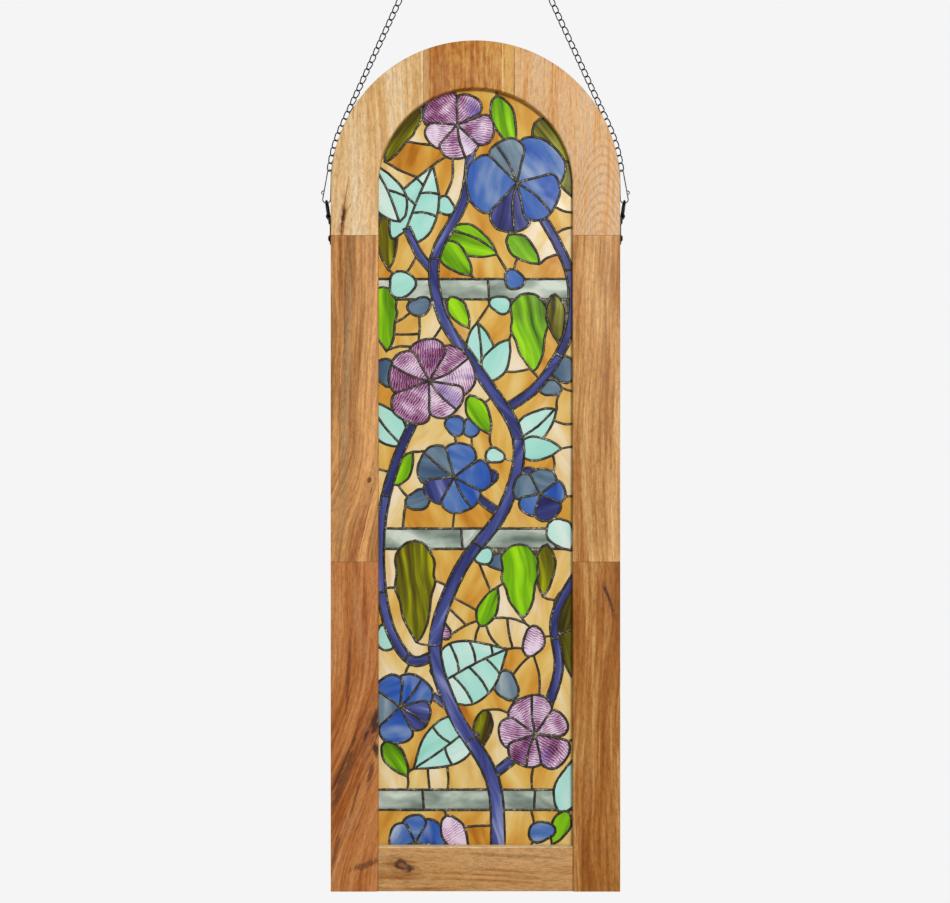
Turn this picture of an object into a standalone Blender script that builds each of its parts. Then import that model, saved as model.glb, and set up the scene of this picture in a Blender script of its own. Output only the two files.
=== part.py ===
# Arched panel of leaded opalescent glass in a glued wooden frame, hung on a chain.
# Metres, +Z up, +X to the right and -Y towards the viewer. The origin is where the hanging ring
# bears on its hook. Touching pieces keep a gap of GAP.
import math

import bmesh
import bpy
from mathutils import Matrix, Vector
from mathutils.geometry import delaunay_2d_cdt

GAP = 0.0003
MERGE = 0.000001  # points nearer than this are one

# Wooden frame
FRAME_WIDTH = 0.311
FRAME_HEIGHT = 0.914
MEMBER_WIDTH = 0.051
RAIL_HEIGHT = 0.048
WOOD_THICKNESS = 0.020
GROOVE_DEPTH = 0.0065
ARCH_DROP = 0.054  # straight length of the arch head below its spring line
LOWER_STILE_LENGTH = 0.354
CROWN_BOARD_LEFT = 0.056  # glue lines of the crown board, from the middle
CROWN_BOARD_RIGHT = 0.042
ARCH_STEPS = 22

# Leaded glass
LEAD_THICKNESS = 0.0046
GLASS_THICKNESS = 0.003
LEAD_WIDTH = 0.0034
BORDER_WIDTH = 0.0045
PANEL_PLAY = 0.0006  # between the panel's edge and the bottom of its groove
SMALLEST_TILE = 0.0002  # square metres; smaller gaps are filled with solder
STRAIGHTEN = 0.0010  # a bend in a tile's edge this slight is left out
SPAN_PARTS = 2  # straight parts between two points of a stem
LEAD_POINT = 2.0  # longest corner of a lead line, in half widths

# Squared paper for the picture, with x from the middle and z from the top of the rail
SQUARES_ACROSS = 20
SQUARES_UP = 78

# Hanging gear
HANG_HEIGHT = 0.225  # from the top of the arch to the middle of the hanging ring
RING_RADIUS = 0.0108  # to the middle of its wire
RING_WIRE = 0.0024
CHAIN_WIRE = 0.0013
LINK_WIDTH = 0.0064
LINK_PITCH = 0.0082
LINK_OVERLAP = 0.0004  # how far a link's bar is let into the next, where they touch
CLIP_LENGTH = 0.038  # between the middles of its two ends
CLIP_TOP_RADIUS = 0.0020
CLIP_FOOT_RADIUS = 0.0043
CLIP_WIRE = 0.0012
CLIP_HEIGHT = 0.0185  # top of the clip above the spring line
D_WIRE = 0.0025
D_HEIGHT = 0.0175
D_WIDTH = 0.0180
STRAP_WIDTH = 0.011
STRAP_THICKNESS = 0.0012
STRAP_LENGTH = 0.030
STRAP_RETURN = 0.0075  # length of the end that is folded back
SCREW_UP = 0.007  # from the strap's lower end
SCREW_RADIUS = 0.0016
SCREW_LENGTH = 0.010
HEAD_RADIUS = 0.0034
HEAD_HEIGHT = 0.0019

# Worked out from the sizes above
HALF = FRAME_WIDTH / 2
OPENING = HALF - MEMBER_WIDTH  # half its width, and the radius of its arch
RING_Z = -(RING_RADIUS - RING_WIRE / 2)
SPRING_Z = RING_Z - HANG_HEIGHT - HALF
BOTTOM_Z = RING_Z - HANG_HEIGHT - FRAME_HEIGHT
RAIL_TOP_Z = BOTTOM_Z + RAIL_HEIGHT
ARCH_END_Z = SPRING_Z - ARCH_DROP
STILE_JOINT_Z = BOTTOM_Z + LOWER_STILE_LENGTH
GROOVE_WIDTH = LEAD_THICKNESS + 2 * GAP
GROOVE_RADIUS = OPENING + GROOVE_DEPTH
PANEL_RADIUS = GROOVE_RADIUS - PANEL_PLAY
PANEL_FOOT_Z = RAIL_TOP_Z - GROOVE_DEPTH + PANEL_PLAY
SQUARE_X = 2 * OPENING / SQUARES_ACROSS
SQUARE_Z = (SPRING_Z + OPENING - RAIL_TOP_Z) / SQUARES_UP
OFF_PAPER = SQUARES_ACROSS / 2 + 2  # a place past the panel's edge


def clear_scene():
    for thing in list(bpy.data.objects):
        bpy.data.objects.remove(thing, do_unlink=True)


def material(name, colour, roughness, metallic=0.0):
    made = bpy.data.materials.new(name)
    made.use_nodes = True
    shader = made.node_tree.nodes["Principled BSDF"]
    shader.inputs["Base Color"].default_value = (*colour, 1.0)
    shader.inputs["Roughness"].default_value = roughness
    shader.inputs["Metallic"].default_value = metallic
    made.diffuse_color = (*colour, 1.0)
    return made


def new_object(name, mesh_maker, finish, smooth=False):
    """Make a named object of the bmesh that is handed in."""
    mesh_maker.normal_update()
    mesh = bpy.data.meshes.new(name)
    mesh_maker.to_mesh(mesh)
    mesh_maker.free()
    if smooth:
        mesh.shade_smooth()
        mesh.set_sharp_from_angle(angle=math.radians(40))
    mesh.materials.append(finish)
    made = bpy.data.objects.new(name, mesh)
    bpy.context.scene.collection.objects.link(made)
    return made


def boolean(target, other, operation):
    """Cut, or join, with the EXACT solver and drop the other object."""
    step = target.modifiers.new("boolean", "BOOLEAN")
    step.operation = operation
    step.object = other
    step.solver = "EXACT"
    view = bpy.context.evaluated_depsgraph_get()
    result = bpy.data.meshes.new_from_object(target.evaluated_get(view))
    target.modifiers.remove(step)
    target.data = result
    bpy.data.objects.remove(other, do_unlink=True)


def box(low, high):
    made = bmesh.new()
    size = Vector(high) - Vector(low)
    middle = (Vector(high) + Vector(low)) / 2
    bmesh.ops.create_cube(made, size=1.0, matrix=Matrix.LocRotScale(middle, None, size))
    return made


def prism(outline, move):
    """A flat face through the points, drawn out along a vector."""
    made = bmesh.new()
    face = made.faces.new([made.verts.new(point) for point in outline])
    drawn = bmesh.ops.extrude_face_region(made, geom=[face])
    tops = [item for item in drawn["geom"] if isinstance(item, bmesh.types.BMVert)]
    bmesh.ops.translate(made, verts=tops, vec=move)
    bmesh.ops.recalc_face_normals(made, faces=made.faces)
    return made


def wire_loop(path, radius, sides, across):
    """A closed wire along a flat loop of points; across is the normal of its plane."""
    made = bmesh.new()
    rings = []
    count = len(path)
    for place, point in enumerate(path):
        before = (point - path[place - 1]).normalized()
        after = (path[(place + 1) % count] - point).normalized()
        out = (before + after).cross(across).normalized()
        stretch = 1 / max(0.3, out.dot(before.cross(across).normalized()))
        ring = []
        for side in range(sides):
            turn = 2 * math.pi * (side + 0.5) / sides
            offset = out * (math.cos(turn) * radius * stretch) + across * (math.sin(turn) * radius)
            ring.append(made.verts.new(point + offset))
        rings.append(ring)
    for place in range(count):
        here = rings[place]
        there = rings[(place + 1) % count]
        for side in range(sides):
            beside = (side + 1) % sides
            made.faces.new([here[side], here[beside], there[beside], there[side]])
    bmesh.ops.recalc_face_normals(made, faces=made.faces)
    return made


# Wood

def grooved_section():
    """Section of a frame member, as distance from the opening's middle and depth."""
    front = -WOOD_THICKNESS / 2
    groove = GROOVE_WIDTH / 2
    return [(OPENING, front), (HALF, front), (HALF, -front), (OPENING, -front),
            (OPENING, groove), (GROOVE_RADIUS, groove), (GROOVE_RADIUS, -groove), (OPENING, -groove)]


def arch_head():
    """The whole head: the section spun through half a turn, with both ends drawn down."""
    made = bmesh.new()
    corners = [made.verts.new((away, depth, SPRING_Z)) for away, depth in grooved_section()]
    face = made.faces.new(corners)
    spun = bmesh.ops.spin(made, geom=[face], cent=(0, 0, SPRING_Z), axis=(0, -1, 0),
                          angle=math.pi, steps=ARCH_STEPS, use_merge=False)
    far_end = [item for item in spun["geom_last"] if isinstance(item, bmesh.types.BMFace)]
    for end in ([face], far_end):
        drawn = bmesh.ops.extrude_face_region(made, geom=end)
        tips = [item for item in drawn["geom"] if isinstance(item, bmesh.types.BMVert)]
        bmesh.ops.translate(made, verts=tips, vec=(0, 0, -ARCH_DROP + GAP / 2))
    bmesh.ops.delete(made, geom=[face] + far_end, context="FACES_ONLY")
    bmesh.ops.recalc_face_normals(made, faces=made.faces)
    return made


def arch_board(name, low_x, high_x, finish):
    """One board of the head, between two upright glue lines."""
    made = arch_head()
    for cut, side in ((low_x, -1), (high_x, 1)):
        if cut is None:
            continue
        geometry = made.verts[:] + made.edges[:] + made.faces[:]
        sliced = bmesh.ops.bisect_plane(made, geom=geometry, plane_co=(cut, 0, 0),
                                        plane_no=(side, 0, 0), clear_outer=True)
        rim = [item for item in sliced["geom_cut"] if isinstance(item, bmesh.types.BMEdge)]
        bmesh.ops.edgenet_fill(made, edges=rim)
    bmesh.ops.recalc_face_normals(made, faces=made.faces)
    return new_object(name, made, finish)


def stile(name, side, low_z, high_z, finish):
    outline = [(side * away, depth, low_z) for away, depth in grooved_section()]
    return new_object(name, prism(outline, (0, 0, high_z - low_z)), finish)


def bottom_rail(finish):
    """The rail, grooved along its top, with a stub tenon at each end in the stiles' grooves."""
    reach = OPENING - GAP
    front = WOOD_THICKNESS / 2
    rail = new_object("bottom_rail", box((-reach, -front, BOTTOM_Z), (reach, front, RAIL_TOP_Z)), finish)
    tenon_reach = GROOVE_RADIUS - GAP
    tenon_front = GROOVE_WIDTH / 2 - GAP
    groove_foot = RAIL_TOP_Z - GROOVE_DEPTH
    tenons = box((-tenon_reach, -tenon_front, BOTTOM_Z), (tenon_reach, tenon_front, groove_foot))
    boolean(rail, new_object("tenons", tenons, finish), "UNION")
    past = HALF
    groove = box((-past, -GROOVE_WIDTH / 2, groove_foot), (past, GROOVE_WIDTH / 2, RAIL_TOP_Z + GROOVE_DEPTH))
    boolean(rail, new_object("groove", groove, finish), "DIFFERENCE")
    return rail


def wooden_frame(finish):
    arch_board("arch_board_left", None, -CROWN_BOARD_LEFT - GAP / 2, finish)
    arch_board("arch_board_crown", -CROWN_BOARD_LEFT + GAP / 2, CROWN_BOARD_RIGHT - GAP / 2, finish)
    arch_board("arch_board_right", CROWN_BOARD_RIGHT + GAP / 2, None, finish)
    uppers = []
    for word, side in (("left", -1), ("right", 1)):
        upper = stile("stile_upper_" + word, side, STILE_JOINT_Z + GAP / 2, ARCH_END_Z - GAP / 2, finish)
        stile("stile_lower_" + word, side, BOTTOM_Z, STILE_JOINT_Z - GAP / 2, finish)
        uppers.append((side, upper))
    bottom_rail(finish)
    return uppers


# Flat shapes of the picture, on the squared paper

def leaf(base, tip, width):
    """A pointed leaf: up one side from its foot to its tip, and down the other."""
    base = Vector(base)
    along = Vector(tip) - base
    across = Vector((-along.y, along.x)).normalized() * width / 2
    sides = []
    for side in (-1, 1):
        for far, wide in ((0.08, 0.55), (0.38, 1.0), (0.76, 0.60)):
            sides.append(base + along * far + across * (side * wide))
    return [base] + sides[:3] + [base + along] + sides[:2:-1]


def heart(base, tip, width):
    """A heart-shaped leaf, its two lobes reaching back past the stalk."""
    base = Vector(base)
    along = Vector(tip) - base
    across = Vector((-along.y, along.x)).normalized() * width / 2
    sides = []
    for side in (-1, 1):
        for far, wide in ((-0.12, 0.50), (0.14, 1.0), (0.58, 0.82)):
            sides.append(base + along * far + across * (side * wide))
    return [base] + sides[:3] + [base + along] + sides[:2:-1]


def petal(middle, angle, length, spread):
    """A rounded petal from the middle of its blossom; angle and spread are in degrees."""
    middle = Vector(middle)
    outline = [middle]
    for far, turn in ((0.78, -1.04), (1.0, -0.5), (1.0, 0.5), (0.78, 1.04)):
        way = math.radians(angle + turn * spread)
        outline.append(middle + Vector((math.cos(way), math.sin(way))) * (length * far))
    return outline


def blossom(middle, radius, petals, turn):
    """Round petals side by side, every second one a little longer."""
    step = 360 / petals
    outlines = []
    for place in range(petals):
        length = radius * (1.0 if place % 2 else 0.93)
        outlines.append(petal(middle, turn + place * step, length, step / 2))
    return outlines


def smooth(points, parts):
    """A smooth line through the points, with each span in so many parts."""
    points = [Vector(point) for point in points]
    line = []
    for place in range(len(points) - 1):
        start = points[place]
        end = points[place + 1]
        before = points[place - 1] if place else start * 2 - end
        after = points[place + 2] if place + 2 < len(points) else end * 2 - start
        for part in range(parts):
            t = part / parts
            bend_in = (end - before) * (0.5 * (t - 2 * t ** 2 + t ** 3))
            bend_out = (after - start) * (0.5 * (t ** 3 - t ** 2))
            ease = 3 * t ** 2 - 2 * t ** 3
            line.append(start.lerp(end, ease) + bend_in + bend_out)
    return line + [points[-1]]


def stem(points, start_width, end_width):
    """A ribbon along a smooth line, tapering from one end to the other."""
    line = smooth(points, SPAN_PARTS)
    left = []
    right = []
    for place, point in enumerate(line):
        after = line[min(place + 1, len(line) - 1)]
        before = line[max(place - 1, 0)]
        along = (after - before).normalized()
        share = place / (len(line) - 1)
        out = Vector((-along.y, along.x)) * (start_width + (end_width - start_width) * share) / 2
        left.append(point + out)
        right.append(point - out)
    return left + right[::-1]


def rail(height, thickness):
    """A trellis rail right across the panel."""
    low = height - thickness / 2
    high = height + thickness / 2
    return [Vector(corner) for corner in ((-OFF_PAPER, low), (OFF_PAPER, low), (OFF_PAPER, high), (-OFF_PAPER, high))]


def picture():
    """A climbing plant on a trellis: groups of one colour, later ones on top of earlier ones."""
    return [
        ("rail_low", "rail", [rail(4.6, 2.1)]),
        ("rail_middle", "rail", [rail(31.6, 2.1)]),
        ("rail_high", "rail", [rail(57.4, 2.1)]),
        ("leaf_olive_long", "olive", [leaf((-6.2, 31.4), (-6.1, 20.9), 4.3)]),
        ("leaf_green_long", "green", [leaf((5.5, 57.0), (5.9, 48.9), 4.0)]),
        ("leaf_green_low", "green", [leaf((4.6, 31.0), (4.8, 23.4), 4.0)]),
        ("leaves_green_top", "green", [
            leaf((-2.9, 63.6), (2.2, 61.0), 3.3),
            leaf((-3.7, 62.4), (-0.4, 58.8), 2.7)]),
        ("leaves_mint_top", "mint", [
            heart((-7.2, 63.4), (-4.4, 70.2), 4.8),
            leaf((-7.8, 64.4), (-10.8, 70.4), 3.6)]),
        ("leaves_mint_high", "mint", [
            leaf((0.6, 48.2), (0.2, 54.0), 3.4),
            leaf((0.9, 48.0), (3.5, 52.2), 2.8)]),
        ("leaves_mint_middle", "mint", [
            leaf((4.2, 41.8), (8.4, 45.0), 3.1),
            leaf((4.2, 41.0), (8.9, 40.9), 2.6)]),
        ("leaf_mint_low", "mint", [heart((-2.4, 17.4), (3.4, 20.4), 6.8)]),
        ("leaf_mint_foot", "mint", [heart((-1.2, 11.6), (-6.4, 7.8), 4.8)]),
        ("vine", "indigo", [
            stem([(-4.0, 19.6), (-6.6, 19.0), (-8.8, 22.2), (-9.8, 27.2), (-9.7, 33.6), (-8.2, 39.6), (-5.6, 45.4)],
                 0.95, 0.85),
            stem([(1.6, 7.0), (4.6, 9.4), (6.4, 11.4)], 0.9, 0.8),
            stem([(6.6, 12.0), (8.6, 18.0), (8.2, 23.4), (10.8, 28.6)], 0.9, 0.8),
            stem([(2.8, 44.8), (6.6, 47.6), (9.6, 52.8), (9.9, 58.4), (8.0, 63.0), (5.0, 67.6)], 0.9, 0.8),
            stem([(-4.1, 59.0), (-5.8, 61.0), (-7.1, 63.7)], 0.8, 0.7),
            stem([(2.6, 34.2), (0.6, 35.6), (-1.6, 37.8)], 0.8, 0.7),
            stem([(4.0, 37.6), (5.6, 38.6), (7.4, 37.0)], 0.8, 0.7),
            stem([(-2.4, 14.0), (-4.8, 15.4), (-7.6, 14.6)], 0.8, 0.7),
            stem([(2.4, -2.0), (1.8, 6.6), (-2.2, 13.6), (-4.2, 20.6), (-1.6, 28.4), (3.0, 34.8),
                  (4.4, 42.0), (0.4, 48.8), (-3.4, 54.6), (-4.2, 60.6), (-1.2, 66.6), (-0.4, 72.4)], 1.4, 0.85)]),
        ("blossom_blue_top", "blue", blossom((4.3, 68.4), 5.2, 5, 40)),
        ("blossom_purple_top", "purple", blossom((-1.9, 74.4), 3.7, 5, 62)),
        ("blossom_purple_middle", "purple", blossom((-4.8, 47.9), 4.6, 5, 20)),
        ("blossom_blue_middle", "blue", blossom((-2.2, 38.0), 3.8, 5, 75)),
        ("blossom_blue_right", "blue", blossom((6.7, 36.2), 2.8, 5, 10)),
        ("blossom_blue_low", "blue", blossom((-7.8, 14.2), 3.6, 5, 45)),
        ("blossom_purple_low", "purple", blossom((6.2, 11.4), 3.9, 5, 30)),
    ]


# Laying the shapes over each other, and cutting the panel up along their outlines

def panel_outline(radius, foot_z):
    """The arched outline of a panel, anticlockwise from its lower right corner."""
    outline = [Vector((radius, foot_z))]
    for step in range(ARCH_STEPS + 1):
        turn = math.pi * step / ARCH_STEPS
        outline.append(Vector((radius * math.cos(turn), SPRING_Z + radius * math.sin(turn))))
    return outline + [Vector((-radius, foot_z))]


def on_panel(point):
    """From the squared paper to metres."""
    return Vector((point.x * SQUARE_X, RAIL_TOP_Z + point.y * SQUARE_Z))


def overlay(outlines):
    """Cut closed outlines up where they cross. Gives points, triangles and what covers each."""
    points = []
    faces = []
    for outline in outlines:
        faces.append(list(range(len(points), len(points) + len(outline))))
        points.extend(outline if area(outline) > 0 else outline[::-1])
    found = delaunay_2d_cdt(points, [], faces, 1, MERGE, True)
    return found[0], found[2], found[5]


def fill(loops):
    """Triangles of what the loops go round once, with any part that they cross twice left out."""
    points = []
    sides = []
    for loop in loops:
        first = len(points)
        points.extend(loop)
        for place in range(len(loop)):
            sides.append((first + place, first + (place + 1) % len(loop)))
    found = delaunay_2d_cdt(points, sides, [], 0, MERGE, True)
    points = found[0]
    kept = []
    for corners in found[2]:
        middle = (points[corners[0]] + points[corners[1]] + points[corners[2]]) / 3
        if winding(loops, middle) == 1:
            kept.append(corners)
    return points, kept


def region_loops(points, triangles):
    """Outlines of a set of triangles, with the inside on the left."""
    halves = set()
    for corners in triangles:
        for place in range(3):
            halves.add((corners[place], corners[(place + 1) % 3]))
    leaving = {}
    for start, end in halves:
        if (end, start) not in halves:
            leaving.setdefault(start, []).append(end)
    loops = []
    while leaving:
        first = min(leaving)
        loop = [first]
        here = first
        came_from = None
        while True:
            choices = leaving[here]
            if came_from is None or len(choices) == 1:
                after = min(choices)
            else:
                back = points[came_from] - points[here]
                after = min(choices, key=lambda end: clockwise(back, points[end] - points[here]))
            choices.remove(after)
            if not choices:
                del leaving[here]
            if after == first:
                break
            loop.append(after)
            came_from = here
            here = after
        loops.append([points[corner] for corner in loop])
    return loops


def clockwise(start, end):
    """Clockwise turn from one direction to another, between 0 and a whole turn."""
    turn = math.atan2(start.y, start.x) - math.atan2(end.y, end.x)
    return turn % (2 * math.pi)


def area(loop):
    total = 0.0
    for place, point in enumerate(loop):
        total += loop[place - 1].cross(point)
    return total / 2


def straightened(loop, slack):
    """The loop without points that lie near the line between the points that stay."""
    count = len(loop)
    first = max(range(count), key=lambda place: loop[place].length)
    kept = [first]
    here = first
    while here < first + count:
        ahead = here + 1
        while ahead < first + count and near_line(loop, here, ahead + 1, slack):
            ahead += 1
        here = ahead
        kept.append(here)
    return [loop[place % count] for place in kept[:-1]]


def near_line(loop, start, end, slack):
    """Whether every point between two places of a loop is near the line that joins them."""
    count = len(loop)
    line = loop[end % count] - loop[start % count]
    if line.length < slack:
        return False
    for place in range(start + 1, end):
        away = loop[place % count] - loop[start % count]
        if abs(line.cross(away)) / line.length > slack or line.dot(away) < 0:
            return False
    return True


def moved_in(loop, distance):
    """Each side moved to its left by a distance, with long outward corners cut off square."""
    moved = []
    count = len(loop)
    for place, point in enumerate(loop):
        before = (point - loop[place - 1]).normalized()
        after = (loop[(place + 1) % count] - point).normalized()
        out_before = Vector((-before.y, before.x))
        out_after = Vector((-after.y, after.x))
        both = out_before + out_after
        reach = distance * 2 / max(both.length_squared, 1e-9)
        if before.cross(after) < 0 and both.length * reach > distance * LEAD_POINT:
            moved.append(point + (out_before + before * 0.8) * distance)
            moved.append(point + (out_after - after * 0.8) * distance)
        else:
            moved.append(point + both * reach)
    return moved


def winding(loops, place):
    """How many times the loops go round a place."""
    total = 0.0
    for loop in loops:
        for corner, point in enumerate(loop):
            start = loop[corner - 1] - place
            end = point - place
            total += math.atan2(start.cross(end), start.dot(end))
    return round(total / (2 * math.pi))


def pieces_of(triangles):
    """Sets of triangles that share sides."""
    owner = {}
    for number, corners in enumerate(triangles):
        for place in range(3):
            owner[(corners[place], corners[(place + 1) % 3])] = number
    left = set(range(len(triangles)))
    pieces = []
    while left:
        seed = min(left)
        left.discard(seed)
        grown = [seed]
        for number in grown:
            corners = triangles[number]
            for place in range(3):
                other = owner.get((corners[(place + 1) % 3], corners[place]))
                if other in left:
                    left.discard(other)
                    grown.append(other)
        pieces.append([triangles[number] for number in grown])
    return pieces


def clearance(loops, place):
    """How far a place is from the nearest side of the loops."""
    nearest = math.inf
    for loop in loops:
        for corner, end in enumerate(loop):
            side = end - loop[corner - 1]
            share = (place - loop[corner - 1]).dot(side) / side.length_squared
            foot = loop[corner - 1] + side * min(1.0, max(0.0, share))
            nearest = min(nearest, (place - foot).length)
    return nearest


def inset(loops, distance, slack):
    """The bodies left when a region's edge is moved in by a distance."""
    points, triangles = fill([moved_in(loop, distance) for loop in loops])
    bodies = []
    for piece in pieces_of(triangles):
        found = []
        for loop in region_loops(points, piece):
            clear = [point for point in loop if clearance(loops, point) > 0.95 * distance]
            if len(clear) > 2:
                found.append(straightened(clear, slack))
        if sum(area(loop) for loop in found) > SMALLEST_TILE:
            bodies.append(found)
    return bodies


def coloured_regions():
    """The panel cut up into regions of one group, each with its outlines."""
    outlines = [panel_outline(PANEL_RADIUS - BORDER_WIDTH + LEAD_WIDTH / 2,
                              PANEL_FOOT_Z + BORDER_WIDTH - LEAD_WIDTH / 2)]
    names = [("ground", "amber")]
    for group, colour, shapes in picture():
        for shape in shapes:
            outlines.append([on_panel(point) for point in shape])
            names.append((group, colour))
    points, triangles, covers = overlay(outlines)
    groups = {}
    for corners, over in zip(triangles, covers):
        if 0 in over:
            groups.setdefault(names[max(over)], []).append(corners)
    regions = []
    for label in sorted(groups, key=names.index):
        pieces = []
        for piece in pieces_of(groups[label]):
            loops = [straightened(loop, STRAIGHTEN) for loop in region_loops(points, piece)]
            pieces.append(loops)
        pieces.sort(key=lambda loops: min(point.y for loop in loops for point in loop))
        regions.append((label, pieces))
    return regions


def flat_plate(loops, thickness):
    """A plate with the given outlines, centred on the panel's middle plane."""
    points, triangles = fill(loops)
    made = bmesh.new()
    corners = [made.verts.new((point.x, -thickness / 2, point.y)) for point in points]
    for triangle in triangles:
        made.faces.new([corners[number] for number in triangle])
    drawn = bmesh.ops.extrude_face_region(made, geom=made.faces[:])
    tops = [item for item in drawn["geom"] if isinstance(item, bmesh.types.BMVert)]
    bmesh.ops.translate(made, verts=tops, vec=(0, thickness, 0))
    bmesh.ops.recalc_face_normals(made, faces=made.faces)
    return made


def leaded_panel(lead, glass):
    holes = []
    for (group, colour), pieces in coloured_regions():
        number = 0
        for loops in pieces:
            for opening in inset(loops, LEAD_WIDTH / 2, STRAIGHTEN):
                panes = inset(opening, GAP, GAP / 30)
                if not panes:
                    continue
                holes.extend([loop[::-1] for loop in opening])
                for pane in panes:
                    number += 1
                    name = "glass_%s_%d" % (group, number)
                    new_object(name, flat_plate(pane, GLASS_THICKNESS), glass[colour])
    outer = panel_outline(PANEL_RADIUS, PANEL_FOOT_Z)
    new_object("leading", flat_plate([outer] + holes, LEAD_THICKNESS), lead)


# Hanging gear

def chain_arc_radius():
    """Where the chain's middle line runs round the arch."""
    return HALF + LINK_WIDTH / 2 + GAP


def chain_path():
    """The right leg's middle line: straight from the ring, then along the outside of the arch."""
    radius = chain_arc_radius()
    centre = Vector((0, SPRING_Z))
    lean = math.asin(radius / (RING_Z - SPRING_Z))
    way = Vector((math.sin(lean), -math.cos(lean)))
    start = Vector((0, RING_Z)) + way * RING_RADIUS
    touch = centre + Vector((math.cos(lean), math.sin(lean))) * radius
    end_turn = math.asin(CLIP_HEIGHT / radius)
    path = [start, touch]
    steps = 12
    for step in range(1, steps + 1):
        turn = lean + (end_turn - lean) * step / steps
        path.append(centre + Vector((math.cos(turn), math.sin(turn))) * radius)
    return path


def along_path(path, distance):
    """The place and direction at a distance along a path."""
    for place in range(len(path) - 1):
        span = path[place + 1] - path[place]
        if distance <= span.length or place == len(path) - 2:
            way = span.normalized()
            return path[place] + way * distance, way
        distance -= span.length


def add_link(made, middle, way, length, turn):
    """A link as four bars of three-sided wire, turned about the chain's line."""
    along = Vector((way.x, 0, way.y))
    lying = Matrix.Rotation(turn, 3, along) @ Vector((along.z, 0, -along.x))
    normal = along.cross(lying)
    centre = Vector((middle.x, 0, middle.y))
    rings = []
    for end, side in ((1, 1), (1, -1), (-1, -1), (-1, 1)):
        corner = centre + along * (end * length / 2) + lying * (side * LINK_WIDTH / 2)
        inner = centre + along * (end * (length / 2 - CHAIN_WIRE)) + lying * (side * (LINK_WIDTH / 2 - CHAIN_WIRE))
        rings.append([made.verts.new(corner + normal * CHAIN_WIRE / 2),
                      made.verts.new(inner),
                      made.verts.new(corner - normal * CHAIN_WIRE / 2)])
    for place in range(4):
        here = rings[place]
        there = rings[(place + 1) % 4]
        for side in range(3):
            beside = (side + 1) % 3
            made.faces.new([here[side], here[beside], there[beside], there[side]])


def chain(name, side, finish):
    """One leg; its links stand at right angles to each other and are joined where they touch."""
    path = chain_path()
    length = sum((path[place + 1] - path[place]).length for place in range(len(path) - 1))
    first_bar = RING_WIRE / 2 + GAP
    last_bar = CLIP_WIRE / 2 + GAP
    run = length + first_bar + last_bar
    count = 2 * round((run - 0.5 * LINK_PITCH) / LINK_PITCH / 2)
    pitch = (run + LINK_OVERLAP) / count
    link_length = pitch - LINK_OVERLAP + 2 * CHAIN_WIRE
    halves = [bmesh.new(), bmesh.new()]
    for place in range(count):
        spot, way = along_path(path, (place + 0.5) * pitch - LINK_OVERLAP / 2 - first_bar)
        spot = Vector((side * spot.x, spot.y))
        way = Vector((side * way.x, way.y))
        turn = side * math.radians(45 if place % 2 else -45)
        add_link(halves[place % 2], spot, way, link_length, turn)
    for half in halves:
        bmesh.ops.recalc_face_normals(half, faces=half.faces)
    leg = new_object(name, halves[0], finish)
    boolean(leg, new_object("other_links", halves[1], finish), "UNION")
    return leg


def round_loop(middle, radius, count, way_a, way_b):
    return [middle + way_a * (radius * math.cos(2 * math.pi * step / count))
            + way_b * (radius * math.sin(2 * math.pi * step / count)) for step in range(count)]


def clip_top():
    return chain_path()[-1]


def clip_foot():
    """The clip's lower end stands off far enough for its wire to clear the wood."""
    top = clip_top()
    out = HALF + 2 * GAP + CLIP_WIRE / 2 + CLIP_FOOT_RADIUS
    return Vector((out, top.y - CLIP_LENGTH + CLIP_TOP_RADIUS))


def wire_clip(name, side, finish):
    """A pear-shaped loop: small round at the top, wide at the foot."""
    top = clip_top() - Vector((0, CLIP_TOP_RADIUS))
    foot = clip_foot() + Vector((0, CLIP_FOOT_RADIUS))
    loop = []
    for centre, radius, low, high, steps in ((top, CLIP_TOP_RADIUS, 0, 180, 5), (foot, CLIP_FOOT_RADIUS, 185, 355, 6)):
        for step in range(steps):
            turn = math.radians(low + (high - low) * step / (steps - 1))
            loop.append(Vector((side * (centre.x + radius * math.cos(turn)), 0, centre.y + radius * math.sin(turn))))
    return new_object(name, wire_loop(loop, CLIP_WIRE / 2, 4, Vector((0, 1, 0))), finish, smooth=True)


def ring_tops():
    """Where the D-ring's arc and its straight bar run, as distances out and heights."""
    arc = clip_foot() + Vector((0, CLIP_WIRE / 2 + GAP + D_WIRE / 2))
    fold = D_WIRE / 2 + GAP + STRAP_THICKNESS
    out = HALF + GAP + fold
    drop = math.sqrt(D_HEIGHT ** 2 - (arc.x - out) ** 2)
    return arc, Vector((out, arc.y - drop))


def d_ring(name, side, finish):
    """A straight bar with a round bow, leaning out to meet the clip."""
    arc, bar = ring_tops()
    up = (arc - bar).normalized()
    lean = Vector((side * up.x, 0, up.y))
    wide = Vector((0, 1, 0))
    half = D_WIDTH / 2 - D_WIRE / 2
    foot = Vector((side * bar.x, 0, bar.y))
    middle = foot + lean * (D_HEIGHT - half)
    loop = [foot + wide * half, foot - wide * half]
    steps = 6
    for step in range(steps + 1):
        turn = math.pi * step / steps
        loop.append(middle - wide * (half * math.cos(turn)) + lean * (half * math.sin(turn)))
    normal = lean.cross(wide)
    return new_object(name, wire_loop(loop, D_WIRE / 2, 4, normal), finish, smooth=True)


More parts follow.
